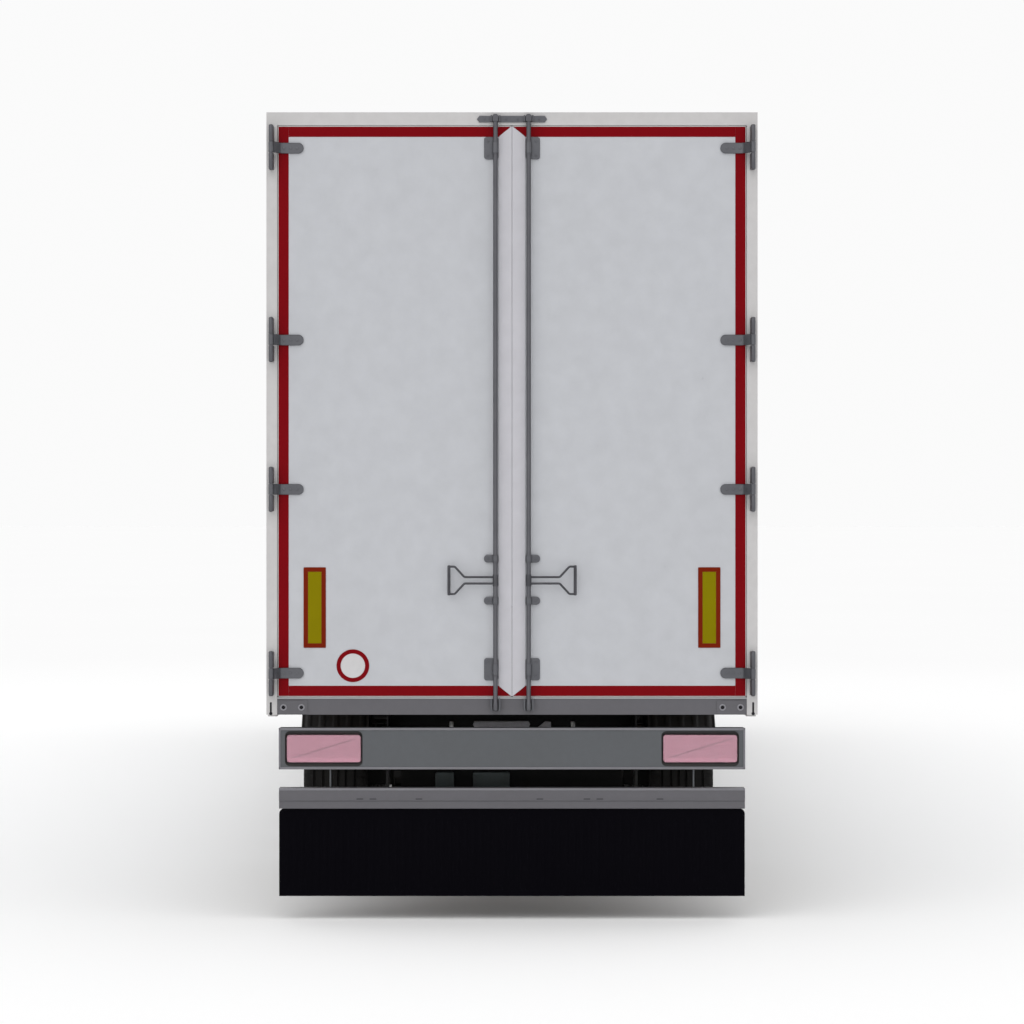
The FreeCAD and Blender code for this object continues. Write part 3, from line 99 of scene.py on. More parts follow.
# Hinges and lock gear
HINGE_X = 1.247
HINGE_Y = REAR - 0.060
HINGE_HALF = 0.113
HINGE_LEVELS = (HINGE_HIGH[2] - HINGE_HALF, DOOR_LOW[2] + DOOR_HEIGHT * 0.625,
                DOOR_LOW[2] + DOOR_HEIGHT * 0.363, HINGE_LOW[2] + HINGE_HALF)
LUG_RADIUS = 0.0118
EYE_RADIUS = 0.013
STRAP_NOSE = corners("door_hinges_right")[0][0]
STRAP_BEND = 1.196
STRAP_HALF = 0.0275
STRAP_GAUGE = 0.008
ROD_X = 0.086
ROD_Y = REAR - 0.032
ROD_RADIUS = 0.0118
COLLAR_RADIUS = 0.0145
GUIDE_START = ROD_X - 0.016
GUIDE_LEVELS = (DOOR_HIGH[2] - 0.113, DOOR_LOW[2] + 0.140)
GUIDE_HALF = 0.058
GUIDE_WIDTH = 0.075
CLIP_LEVELS = (DOOR_LOW[2] + 0.714, DOOR_LOW[2] + 0.496)
CLIP_HALF = 0.0205
CLIP_WIDTH = 0.076
HANDLE_LEVEL = DOOR_LOW[2] + 0.602
HANDLE_HALF = 0.0165
GRIP_HALF = 0.0710
GRIP_X = LOCK_HIGH[0] - 0.008
NECK_X = 0.247
FLARE_X = 0.297
KEEPER_HALF = 0.017
SOCKET_TOP = KEEPER_LOW[2] + 0.062

# Sill, bars and lamps
SILL_TOP = 1.156
SILL_BOLTS = (1.093, 1.186)
SILL_BOLT_LEVEL = SILL_LOW[2] + 0.038
LAMP_BOX = (0.776, 0.798, 1.179, 0.980)
LENS_BOX = (0.785, 0.8185, 1.169, 0.961)
UNDER_CREASE = 0.615
UNDER_TOP = 0.684
UNDER_DEPTH = 0.08
UNDER_BOLTS = (-0.790, -0.722, -0.483, 0.145, 0.389, 0.456, 0.768)
STAY_X = 0.944
FLAP_ROUND = 0.027

# Wheels
AXLE_Z = (TYRE_LOW[2] + TYRE_HIGH[2]) / 2
TYRE_RADIUS = (TYRE_HIGH[2] - TYRE_LOW[2]) / 2
WHEEL_X = (TYRE_LOW[0] + TYRE_HIGH[0]) / 2
AXLE_PLACES = [float(sum(corners(f"tyre_{axle}_right"))[1] / 2) for axle in AXLES]
WHEEL_FACE = 0.1162
NUT_CIRCLE = 0.1675
HUB_END = 0.173

# Box
WALL_PITCH = 1.24
STRIP_PROUD = 0.0022
FRONT_STRIP_X = 0.39
ROOF_PITCH = 2.48
MARKER_PITCH = 2.45
RIB_START = 0.18
RIB_PITCH = 0.5
RIB_DEPTH = 0.040
RIVET_PITCH = 0.12
RIVET_RADIUS = 0.0042

# Running gear, legs and front
RAIL_X = 0.650
RAIL_LOW_Z = 0.740
ARM_FOOT = 0.110
ARM_TOP = 0.960
ARM_BACK = UNDER_HIGH[1]
CHAMBER_X = 0.480
CHAMBER_RADIUS = 0.082
CHAMBER_BACK = 0.255
SPRING_BEHIND = 0.390
SPRING_RADIUS = 0.135
PIVOT_AHEAD = 0.500
PIVOT_RISE = 0.095
MUDGUARD_HALF = 0.205
MUDGUARD_REACH = 58
LEG_Y = (LEG_LOW[1] + LEG_HIGH[1]) / 2
LEG_FACE = 0.720
LEG_X = 0.775
LEG_COLLAR = 0.058
CASE_FACE = 0.864
SHAFT_Z = 0.660
CRANK_END = 1.175
CRANK_DROP = 0.229
GUARD_X = GUARD_HIGH[0] - 0.028
GUARD_LEVELS = (GUARD_LOW[2], GUARD_LOW[2] + 0.320)
TANK_X = 0.230
TANK_RADIUS = 0.138
TANK_Y = (TANK_LOW[1] + TANK_HIGH[1]) / 2
TANK_Z = TANK_LOW[2] + TANK_RADIUS
COUPLING_FACE = COUPLING_HIGH[1] - 0.070
COUPLING_Z = (COUPLING_LOW[2] + COUPLING_HIGH[2]) / 2
BEAM_FACE = corners("rear_cross_beam")[0][1] + 0.060


# Surfaces

def about(middle, half):
    """The two places at half a width on both sides of a middle."""
    return middle - half, middle + half


def places_at(x, y, z):
    """Places from three coordinates, each one number or an array of them."""
    return np.stack(np.broadcast_arrays(x, y, z), -1).astype(float)


def arc(centre, radius, start, end, steps):
    """Points on a circle from one angle to another, both in degrees."""
    angle = np.radians(np.linspace(start, end, steps + 1))
    return np.stack([centre[0] + radius * np.cos(angle), centre[1] + radius * np.sin(angle)], 1)


def round_rect(x0, z0, x1, z1, radius, steps=5):
    """A rectangle whose four corners are quarter circles, going round to the left."""
    places = ((x1 - radius, z0 + radius, -90), (x1 - radius, z1 - radius, 0),
              (x0 + radius, z1 - radius, 90), (x0 + radius, z0 + radius, 180))
    return np.concatenate([arc((x, z), radius, turn, turn + 90, steps) for x, z, turn in places])


def disc_outline(x, z, radius, steps=24):
    """Points on a whole circle, going round to the left."""
    return arc((x, z), radius, 0, 360, steps)[:-1]


def quads(rows, columns, wrap_rows, wrap_columns):
    """Corner numbers of the faces of a grid of points, joined round where it wraps."""
    row = np.arange(rows if wrap_rows else rows - 1)[:, None]
    column = np.arange(columns if wrap_columns else columns - 1)[None, :]
    next_row = (row + 1) % rows
    next_column = (column + 1) % columns
    faces = np.stack([
        row * columns + column, row * columns + next_column,
        next_row * columns + next_column, next_row * columns + column], -1)
    return faces.reshape(-1, 4)


def outward(points, faces):
    """Turns every face round when the closed shell holds a negative volume."""
    total = 0.0
    for group in faces:
        first = points[group[:, 0]]
        for step in range(1, group.shape[1] - 1):
            second, third = points[group[:, step]], points[group[:, step + 1]]
            total += np.einsum("ij,ij->", first, np.cross(second, third))
    return points, [group[:, ::-1] for group in faces] if total < 0 else faces


def grid_shell(points, wrap_rows, wrap_columns, caps=False):
    """A surface on a grid of points (rows, columns, 3), with its end rows closed flat."""
    rows, columns = points.shape[:2]
    faces = [quads(rows, columns, wrap_rows, wrap_columns)]
    if caps:
        faces.append(np.arange(columns)[None, ::-1])
        faces.append(((rows - 1) * columns + np.arange(columns))[None, :])
    return outward(points.reshape(-1, 3), faces)


def inset(outline, amount):
    """The outline drawn in along the mean normal of its two edges at each corner."""
    edge = np.roll(outline, -1, 0) - outline
    edge /= np.maximum(np.linalg.norm(edge, axis=1, keepdims=True), 1e-12)
    normal = np.stack([-edge[:, 1], edge[:, 0]], 1)
    before = np.roll(normal, 1, 0)
    joint = np.maximum(1 + np.einsum("ij,ij->i", before, normal), 0.3)[:, None]
    return outline + (before + normal) / joint * amount


def laid(flat, depth, across):
    """Flat points (n, 2) put at a depth along the axis that the plate is across."""
    return np.insert(flat, "xyz".index(across), depth, 1)


def loft(sections, across="y", ring=False):
    """A closed surface through outlines, each with its depth along one axis. In a ring
    the last outline joins the first."""
    rings = np.array([laid(outline, depth, across) for outline, depth in sections])
    return grid_shell(rings, ring, True, caps=not ring)


def plate(outline, start, end, bevel=0.0, across="y", steps=2):
    """An outline carried from start to end, with quarter-round edges and flat faces."""
    turn = np.radians(np.linspace(0, 90, steps + 1)) if bevel else np.zeros(1)
    drawn = [inset(outline, amount) for amount in bevel * (1 - np.sin(turn))]
    depth = bevel * (1 - np.cos(turn)) * math.copysign(1, end - start)
    return loft([*zip(drawn, start + depth), *zip(drawn[::-1], end - depth[::-1])], across)


def bar(x, y, z, bevel=0.0, across="y"):
    """A block with rounded edges from its two ends along each axis."""
    reach = {axis: sorted(ends) for axis, ends in zip("xyz", (x, y, z))}
    one, two = (reach[axis] for axis in "xyz" if axis != across)
    outline = round_rect(one[0], two[0], one[1], two[1], max(bevel, 1e-5) * 1.15, 3)
    return plate(outline, *reach[across], bevel, across)


def full_turn(count):
    """Angles spread evenly round a circle."""
    return np.linspace(0, 2 * math.pi, count, endpoint=False)


def spun(along, radii, axis, segments):
    """A grid of places round an axis: each row's place along it, and one radius for
    each row or for each place."""
    angle = full_turn(segments)
    grid = np.broadcast_arrays(along[:, None], radii * np.cos(angle), radii * np.sin(angle))
    return np.stack(np.roll(grid, "xyz".index(axis), 0), -1)


def turned(profile, centre, axis, segments=48):
    """A profile of (place along the axis, radius) turned about the axis. Where it
    starts and ends on the axis, one point closes each end. Elsewhere it is a ring."""
    profile = np.array(profile, float)
    solid = not profile[[0, -1], 1].any()
    body = profile[1:-1] if solid else profile
    flat = spun(body[:, 0], body[:, 1:], axis, segments).reshape(-1, 3)
    faces = [quads(len(body), segments, not solid, True)]
    if solid:
        ends = np.zeros((2, 3))
        ends[:, "xyz".index(axis)] = profile[0, 0], profile[-1, 0]
        ring = np.arange(segments)
        following = (ring + 1) % segments
        first = np.full(segments, len(flat))
        last = len(flat) - segments
        faces.append(np.stack([first, following, ring], 1))
        faces.append(np.stack([first + 1, last + ring, last + following], 1))
        flat = np.concatenate([flat, ends])
    return outward(flat + centre, faces)


def bent(points, radius, steps=6):
    """A path whose corners are replaced by curves that touch both of their runs."""
    points = np.array(points, float)
    path = [points[:1]]
    for before, here, after in zip(points[:-2], points[1:-1], points[2:]):
        first = here + (before - here) / np.linalg.norm(before - here) * radius
        last = here + (after - here) / np.linalg.norm(after - here) * radius
        share = np.linspace(0, 1, steps + 1)[:, None]
        path.append(first * (1 - share) ** 2 + here * 2 * share * (1 - share) + last * share ** 2)
    path.append(points[-1:])
    return np.concatenate(path)


def pipe(path, radius, sides=16, up=(0, 0, 1)):
    """A round section carried along a path, square to it, with flat ends. The radius is
    one number, or one for each place."""
    path = np.array(path, float)
    along = np.gradient(path, axis=0)
    along /= np.linalg.norm(along, axis=1, keepdims=True)
    across = np.cross(np.array(up, float), along)
    across /= np.linalg.norm(across, axis=1, keepdims=True)
    third = np.cross(along, across)
    angle = full_turn(sides)[None, :, None]
    ring = across[:, None] * np.cos(angle) + third[:, None] * np.sin(angle)
    ring *= np.reshape(radius, (-1, 1, 1))
    return grid_shell(path[:, None] + ring, False, True, caps=True)


def rod(start, end, radius, sides=20, bevel=0.0):
    """A straight round bar between two places, with rounded rims."""
    start = np.array(start, float)
    span = np.array(end, float) - start
    length = np.linalg.norm(span)
    places, radii = (0, length), radius
    if bevel:
        places = (0, bevel, length - bevel, length)
        radii = (radius - bevel, radius, radius, radius - bevel)
    up = (0, 0, 1) if abs(span[2]) < length * 0.9 else (1, 0, 0)
    return pipe(start + np.outer(places, span / length), radii, sides, up)


def peg(centre, axis, start, end, radius, sides=20, bevel=0.0):
    """A straight round bar along an axis, from start to end beside its centre."""
    along = np.array([axis == name for name in "xyz"], float)
    return rod(centre + along * start, centre + along * end, radius, sides, bevel)


def bolts(places, normal, radius, height):
    """At each place a six-sided bolt head on a round washer."""
    parts = []
    normal = np.array(normal, float)
    for place in places:
        seat = np.array(place, float) + normal * height * 0.25
        parts.append(rod(place, seat, radius * 1.35, 16))
        parts.append(rod(seat, place + normal * height, radius, 6, radius * 0.12))
    return parts


def rivet(normal, height):
    """A low domed rivet head with eight sides."""
    return pipe(np.outer((0, height), normal), (RIVET_RADIUS, RIVET_RADIUS * 0.72), 8)


def moved(part, shift=(0, 0, 0), scale=(1, 1, 1)):
    """The part scaled about the origin and shifted: faces still point outwards."""
    points, faces = part
    return outward(points * scale + shift, faces)


def repeated(part, places):
    """One part copied to many places, as arrays, in one closed set of faces."""
    points, faces = part
    shift = np.arange(len(places))[:, None, None] * len(points)
    return ((points + places[:, None]).reshape(-1, 3),
            [(group + shift).reshape(-1, group.shape[1]) for group in faces])


def mirrored(parts, side=-1):
    """The parts as they are for the right side, or their mirror image for the left."""
    if isinstance(parts, tuple):
        return mirrored(parts[0], side), parts[1]
    return parts if side > 0 else [moved(part, scale=(-1, 1, 1)) for part in parts]


def both(parts):
    """The parts and their mirror images on the other side of the trailer."""
    if isinstance(parts, tuple):
        return both(parts[0]), parts[1] * 2
    return parts + mirrored(parts)


def marked(*groups):
    """Parts with the number of each one's finish, from groups of (number, parts)."""
    return ([part for _, parts in groups for part in parts],
            [number for number, parts in groups for _ in parts])


def add_piece(name, parts, finishes, replaces=(), body="trailer", smooth=35):
    """Joins closed parts, with or without numbers of finishes, into one mesh that rides
    on a body. A face that stands alone in its group is a flat cap."""
    parts, marks = parts if isinstance(parts, tuple) else (parts, [0] * len(parts))
    points, faces, face_marks, rounded = [], [], [], []
    count = 0
    for (part_points, groups), mark in zip(parts, marks):
        points.append(part_points)
        for group in groups:
            faces.extend((group + count).tolist())
            face_marks += [mark] * len(group)
            rounded += [len(group) > 1] * len(group)
        count += len(part_points)
    mesh = bpy.data.meshes.new(name)
    mesh.from_pydata(np.concatenate(points).tolist(), [], faces)
    mesh.polygons.foreach_set("material_index", np.array(face_marks, np.int32))
    mesh.set_sharp_from_angle(angle=math.radians(smooth))
    mesh.polygons.foreach_set("use_smooth", np.array(rounded))
    mesh.update()
    piece = bpy.data.objects.new(name, mesh)
    bpy.context.scene.collection.objects.link(piece)
    for finish in [finishes] if isinstance(finishes, str) else finishes:
        mesh.materials.append(bpy.data.materials[finish])
    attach(piece, body)
    if replaces:
        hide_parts(*replaces)


# Rear doors: tape, plates, sign and cover strip

def ring_plate(outer, inner, start, end):
    """A flat ring between two outlines with the same number of points."""
    return loft([(outer, start), (outer, end), (inner, end), (inner, start)], ring=True)


def tape_parts():
    """The outline tape of a leaf: one strip up its outer edge and two across it."""
    outer = DOOR_EDGE - 0.001
    inner = outer - TAPE_WIDTH
    low, high = DOOR_LOW[2] + 0.001, DOOR_HIGH[2] - 0.001
    start, end = MEETING_EDGE + 0.001, inner - FIT_GAP
    boxes = ((inner, low, outer, high), (start, high - TAPE_WIDTH, end, high),
             (start, low, end, low + TAPE_WIDTH))
    return [plate(round_rect(*box, 0.0006, 2), REAR, REAR - 0.0008, 0.0003, steps=1)
            for box in boxes]


def cover_parts():
    """Half of the pointed cover over the meeting line: a flat strip with sloping rims. Its
    white is painted lighter than the door white: painted light against the rods' shade.
    """
    half, taper = STRIP_HALF, STRIP_TAPER
    foot = np.array([(MEETING_EDGE - 0.00325, 0), (half * 0.55, taper * 0.52),
                     (half - 0.004, taper - 0.004), (half, taper + 0.006)])
    outline = np.concatenate([foot + (0, DOOR_LOW[2] - 0.001),
                              foot[::-1] * (1, -1) + (0, DOOR_HIGH[2] + 0.001)])
    return [plate(outline, REAR - 0.001, REAR - 0.0055, 0.0005)]


def bordered(outline, border, rim, face, bevel):
    """A blank plate with a raised border round a field of its own colour. outline gives
    the plate's edge drawn in by an amount."""
    edge = ring_plate(outline(0), outline(border), REAR, REAR - rim)
    field = plate(outline(border + FIT_GAP), REAR, REAR - face, bevel)
    return marked((0, [edge]), (1, [field]))


def marking_parts():
    """A long upright marking plate."""
    x0, x1, z0, z1 = MARKING
    return bordered(lambda edge: round_rect(x0 + edge, z0 + edge, x1 - edge, z1 - edge,
                                            0.002 if edge else 0.004),
                    MARKING_BORDER, 0.0022, 0.0018, 0.0004)


def sign_parts():
    """A round sign, blank inside."""
    return bordered(lambda edge: disc_outline(*SIGN_PLACE, SIGN_RADIUS - edge, 64),
                    SIGN_RING, 0.0016, 0.0012, 0.0003)


def seal_parts():
    """Pale seal lips round the leaf's rim, set just behind its outer face, and one in the
    meeting gap. The seals are real; their pale colour is painted light that fills the gaps' shade.
    """
    inner, outer = MEETING_EDGE + 0.0005, DOOR_EDGE - 0.0005
    low, high = DOOR_LOW[2] + 0.0005, DOOR_HIGH[2] - 0.0005
    start, end = REAR + 0.0008, REAR + 0.024
    lip = 0.0042
    return [bar((outer, outer + lip), (start, end), (low, high), 0.0012),
            bar((inner, outer), (start, end), (high, high + lip), 0.0012),
            bar((inner, outer), (start, end), (low - lip, low), 0.0012),
            bar((inner - 0.003, inner), (start + 0.004, end), (low, high), 0.0008)]


# Rear hardware

def ribbon(path, halves, gauge, bevel):
    """A flat bar carried along a path seen from above: each place has its own half
    height, and the section is a rectangle with rounded corners."""
    path = np.array(path, float)
    along = np.gradient(path, axis=0)
    along /= np.linalg.norm(along, axis=1, keepdims=True)
    normal = np.stack([-along[:, 1], along[:, 0]], 1)
    section = round_rect(-gauge / 2, -1, gauge / 2, 1, 1e-6, 3)
    turn = np.radians(np.linspace(0, 90, 4))
    rise = bevel * (1 - np.sin(turn))
    draw = bevel * (1 - np.cos(turn))
    across = section[:, 0] - np.sign(section[:, 0]) * np.tile(
        np.concatenate([draw, draw[::-1]]), 2)
    lift = np.tile(np.concatenate([rise[::-1], rise]), 2)
    heights = np.sign(section[:, 1]) * (np.array(halves)[:, None] - lift)
    points = np.zeros((len(path), len(section), 3))
    points[..., :2] = path[:, None] + normal[:, None] * across[None, :, None]
    points[..., 2] = heights
    return grid_shell(points, False, True, caps=True)


def strap_parts(level):
    """A hinge strap: a round-nosed tongue on the leaf, a swan neck and a rolled eye,
    with three low rivet heads. The nose is half a circle: at an angle its half height
    is the sine and its reach the cosine."""
    half = STRAP_HALF
    face = REAR - STRAP_GAUGE / 2
    turn = np.radians(np.linspace(9, 90, 12))
    nose = np.column_stack(np.broadcast_arrays(STRAP_NOSE + half * (1 - np.cos(turn)), face))
    neck = bent([(STRAP_BEND - 0.03, face), (STRAP_BEND, face),
                 (HINGE_X - 0.012, HINGE_Y + 0.0005)], 0.016, 8)
    halves = np.concatenate([half * np.sin(turn), np.full(len(neck), half)])
    tongue = ribbon(np.concatenate([nose, neck]), halves, STRAP_GAUGE, 0.002)
    eye = turned([(-half, 0.0086), (-half, 0.0118), (-half + 0.0012, EYE_RADIUS),
                  (half - 0.0012, EYE_RADIUS), (half, 0.0118), (half, 0.0086)],
                 (HINGE_X, HINGE_Y, 0), "z", 28)
    head = [(0, 0), (0, 0.0075), (-0.0006, 0.007), (-0.0013, 0.004), (-0.0015, 0)]
    heads = [turned(head, (STRAP_NOSE + place, REAR - STRAP_GAUGE + 0.0002, 0), "y", 18)
             for place in (0.034, 0.068, 0.102)]
    return [moved(part, (0, 0, level)) for part in [tongue, eye, *heads]]


def lug_parts(level):
    """The two lugs on the post, with their webs, and the pin with its domed heads."""
    curve = arc((HINGE_X, HINGE_Y), LUG_RADIUS, 180, 360, 14)
    outline = np.concatenate([curve, [(HINGE_X + LUG_RADIUS, REAR), (HINGE_X - LUG_RADIUS, REAR)]])
    gap = STRAP_HALF + 0.003
    parts = []
    for side in (-1, 1):
        end = level + HINGE_HALF * side
        parts.append(plate(outline, level + gap * side, end, 0.0015, "z"))
        dome = [(0, 0), (0, 0.0105), (0.002 * side, 0.0095), (0.0036 * side, 0.006),
                (0.0042 * side, 0)]
        parts.append(turned(dome, (HINGE_X, HINGE_Y, end), "z", 20))
    reach = HINGE_HALF - 0.002
    return parts + [peg((HINGE_X, HINGE_Y, level), "z", -reach, reach, 0.008)]


def saddle(low, high, reach):
    """A strap bent over the rod and down to its plate on both sides."""
    inside = ROD_RADIUS + FIT_GAP
    foot = REAR - 0.006
    outline = np.concatenate([
        [(ROD_X + reach, foot)], arc((ROD_X, ROD_Y), reach, 360, 180, 14),
        [(ROD_X - reach, foot), (ROD_X - inside, foot)],
        arc((ROD_X, ROD_Y), inside, 180, 360, 14), [(ROD_X + inside, foot)]])[::-1]
    return plate(outline, low, high, 0.0008, "z", 1)


def bracket_parts(level, half, width, corner, gauge, bevel):
    """A rounded plate outboard of the rod."""
    box = (GUIDE_START, level - half, GUIDE_START + width, level + half)
    return [plate(round_rect(*box, corner), REAR, REAR - gauge, bevel)]


def guide_parts(level):
    """A rod guide: its plate, its saddle and two bolts."""
    half = GUIDE_HALF
    bolt_x = GUIDE_START + GUIDE_WIDTH - 0.02
    places = [(bolt_x, REAR - 0.008, level + step) for step in (-0.036, 0.036)]
    return (bracket_parts(level, half, GUIDE_WIDTH, 0.014, 0.008, 0.0022)
            + [saddle(level - half * 0.5, level + half * 0.5, 0.016)]
            + bolts(places, (0, -1, 0), 0.0062, 0.006))


def clip_parts(level):
    """A smaller guide beside the handle: its plate, its saddle and one bolt."""
    half = CLIP_HALF
    place = (GUIDE_START + CLIP_WIDTH - 0.020, REAR - 0.014, level)
    return (bracket_parts(level, half, CLIP_WIDTH, 0.0195, 0.014, 0.004)
            + [saddle(level - half * 0.75, level + half * 0.75, 0.0158)]
            + bolts([place], (0, -1, 0), 0.006, 0.005))


def handle_parts():
    """The handle: two round bars side by side that part and meet a thicker grip. Its finish
    is a darker copy of the rod steel: painted shade.
    """
    reach = GRIP_HALF + 0.007
    parts = [peg((GRIP_X, ROD_Y, HANDLE_LEVEL), "z", -reach, reach, 0.008, 20, 0.003)]
    for side in (-1, 1):
        near, far = HANDLE_LEVEL + HANDLE_HALF * side, HANDLE_LEVEL + GRIP_HALF * side
        path = bent([(ROD_X, ROD_Y, near), (NECK_X, ROD_Y, near), (FLARE_X, ROD_Y, far),
                     (GRIP_X, ROD_Y, far)], 0.007, 5)
        parts.append(pipe(path, 0.0056, 14, up=(0, 1, 0)))
    hub = [(-0.0305, ROD_RADIUS), (-0.0305, 0.013), (-0.028, COLLAR_RADIUS),
           (0.028, COLLAR_RADIUS), (0.0305, 0.013), (0.0305, ROD_RADIUS)]
    return parts + [turned(hub, (ROD_X, ROD_Y, HANDLE_LEVEL), "z", 28)]


def rod_parts():
    """The lock rod with thin collars at its guides, a wider foot, and at its head a cam
    block as high as the keeper that takes it."""
    low, high = LOCK_LOW[2], LOCK_HIGH[2]
    profile = [(low, 0), (low, 0.010), (low + 0.003, 0.0125), (low + 0.006, 0.0140),
               (low + 0.040, 0.0140), (low + 0.046, ROD_RADIUS), (high - 0.003, ROD_RADIUS),
               (high, 0.009), (high, 0)]
    top = KEEPER_HIGH[2]
    parts = [turned(profile, (ROD_X, ROD_Y, 0), "z", 32),
             bar(about(ROD_X, 0.0155), (ROD_Y - 0.0152, ROD_Y + 0.019),
                 (top - KEEPER_HALF * 2 + 0.0005, top - 0.0005), 0.002)]
    for level in CLIP_LEVELS + GUIDE_LEVELS:
        reach = (CLIP_HALF * 0.75 if level in CLIP_LEVELS else GUIDE_HALF * 0.5) + 0.0015
        for side in (-1, 1):
            collar = [(0, ROD_RADIUS - 0.001), (0, COLLAR_RADIUS), (0.005 * side, COLLAR_RADIUS),
                      (0.005 * side, ROD_RADIUS - 0.001)]
            parts.append(turned(collar, (ROD_X, ROD_Y, level + side * reach), "z", 24))
    return parts


def lock_parts():
    """All that rides on a door with its lock rod."""
    plates = [part for level in GUIDE_LEVELS for part in guide_parts(level)]
    plates += [part for level in CLIP_LEVELS for part in clip_parts(level)]
    # The handle's finish is the darker steel: painted shade.
    return marked((1, rod_parts()), (2, handle_parts()), (0, plates))


def keeper_parts():
    """The long keeper plate on the header, its cheeks beside each rod, and the two
    sockets on the sill."""
    low, tip = KEEPER_LOW[2], KEEPER_HIGH[0]
    middle = KEEPER_HIGH[2] - KEEPER_HALF
    bottom, top = about(middle, KEEPER_HALF)
    shoulder = tip - 0.012
    outline = np.array([(-shoulder, bottom), (shoulder, bottom), (tip, middle), (shoulder, top),
                        (-shoulder, top), (-tip, middle)])
    parts = [plate(outline, REAR, REAR - 0.007, 0.002)]
    clear = ROD_RADIUS + 0.006
    for x in (-ROD_X, ROD_X):
        for side in (-1, 1):
            cheek = (x + side * clear, x + side * (clear + 0.008))
            parts.append(bar(cheek, (REAR - 0.038, REAR - 0.005), (bottom, top), 0.0015))
            parts.append(bar(cheek, (REAR - 0.038, REAR - 0.004), (low, SOCKET_TOP), 0.0015))
        parts.append(bar(about(x, 0.028), (REAR - 0.006, REAR), (low, SOCKET_TOP), 0.0015))
        parts += bolts([(end, REAR - 0.006, middle) for end in about(x, 0.055)],
                       (0, -1, 0), 0.006, 0.005)
    return parts


# Rear sill, bars, lamps and flap

def sill_parts():
    """Thin bright strip along the sill under the doors."""
    return [bar((-SILL_HIGH[0], SILL_HIGH[0]), (REAR - 0.003, REAR), (SILL_TOP - 0.007, SILL_TOP),
                0.001)]


def sill_bolts():
    """On each end plate of the sill: two raised rims round bolt heads, and at the foot of
    the corner post a drain slot with a drop-shaped end. The rims' lighter grey is a painted
    highlight. Bolts, slot and drop stand proud and are painted near black: painted shade of
    bolt holes and a slot."""
    profile = [(0, 0.0095), (0, 0.0175), (-0.002, 0.017), (-0.0035, 0.015), (-0.0035, 0.0115),
               (-0.001, 0.0095)]
    rims = [turned(profile, (x, SILL_LOW[1] + 0.0004, SILL_BOLT_LEVEL), "y", 28)
            for x in SILL_BOLTS]
    holes = bolts([(x, REAR + 0.0005, SILL_BOLT_LEVEL) for x in SILL_BOLTS], (0, -1, 0),
                  0.0085, 0.0035)
    x, level = HALF_WIDTH - 0.023, SILL_BOLT_LEVEL - 0.007
    slot = round_rect(x - 0.005, level - 0.034, x + 0.005, level + 0.034, 0.0045)
    holes.append(plate(slot, REAR + 0.0005, REAR - 0.001, 0.0006))
    holes.append(turned([(0.0005, 0), (0.0005, 0.009), (-0.0012, 0.008), (-0.0012, 0)],
                        (x, REAR, level - 0.025), "y", 20))
    return rims, holes


def light_bar_parts():
    """Rolled lips along the upper and lower edges of the bar, and its end caps. Their
    lighter grey is a painted highlight on the bar's edges.
    """
    x, low, high = LIGHT_HIGH[0], LIGHT_LOW[2], LIGHT_HIGH[2]
    face, proud = REAR - 0.004, 0.001
    parts = [bar((-x, x), (face, REAR + 0.01), levels, 0.0025, "z")
             for levels in ((high - 0.011, high + proud), (low - proud, low + 0.011))]
    return parts + [bar((side * (x + proud), side * (x - 0.009)), (face, REAR + 0.02),
                        (low - proud, high + proud), 0.0025, "z") for side in (-1, 1)]


def lamp_parts():
    """One lamp as seen at the right: a dark tray with a raised rim, a bright reflector
    bowl, and a tinted cover with rounded edges."""
    def lens(drawn, radius, steps):
        x0, z0, x1, z1 = LENS_BOX
        return round_rect(x0 + drawn, z0 + drawn, x1 - drawn, z1 - drawn, radius, steps)

    rim = 0.004
    outer, inner = round_rect(*LAMP_BOX, 0.026, 8), lens(-0.001, 0.016, 8)
    bowl = lens(0.003, 0.012, 6)
    face = REAR - 0.002
    tray = loft([(outer, REAR + 0.024), (outer, face + rim), (inset(outer, rim * 0.4), face),
                 (inset(outer, rim), face), (inner, REAR + 0.006), (inner, REAR + 0.02)])
    reflector = loft([(bowl, REAR + 0.0195), (bowl, REAR + 0.009),
                      (inset(bowl, 0.0015), REAR + 0.009), (inset(bowl, 0.018), REAR + 0.0175)])
    cover = plate(lens(0, 0.015, 8), REAR + 0.007, REAR - 0.008, 0.006, steps=5)
    return [tray, reflector, cover], [0, 1, 2]


def under_run_parts():
    """The under-run beam, a folded section with a crease low on its face, a rolled lip
    along its top, and the two arms that hang the rear bars on the rails. The lip's lighter
    grey is a painted highlight on the top edge."""
    low, high, back = UNDER_LOW[2], UNDER_TOP, REAR + UNDER_DEPTH
    lip = 0.006
    section = np.concatenate([
        arc((back - 0.004, low + 0.004), 0.004, -90, 0, 4),
        arc((back - 0.006, high - 0.006), 0.006, 0, 90, 5),
        arc((REAR + 0.007, high - 0.007), 0.007, 90, 180, 6),
        [(REAR, UNDER_CREASE + lip * 1.6), (REAR + lip * 0.2, UNDER_CREASE + lip * 0.7),
         (REAR + lip, UNDER_CREASE), (REAR + lip, low + 0.004), (REAR + lip + 0.003, low)]])
    x, bevel = UNDER_HIGH[0], 0.0015
    beam = loft([(inset(section, bevel), -x), (section, bevel - x), (section, x - bevel),
                 (inset(section, bevel), x)], "x")
    roll = bar((-x, x), (REAR - 0.002, REAR + 0.012), (high - 0.012, high + 0.0002), 0.0018, "z")
    arm = np.array([(back - 0.004, low), (back + ARM_FOOT, low), (ARM_BACK, ARM_TOP),
                    (back - 0.004, ARM_TOP)])
    arms = [plate(arm, *about(side * RAIL_X, 0.006), 0.001, "x") for side in (-1, 1)]
    return marked((0, [beam]), (1, [roll]), (2, arms))


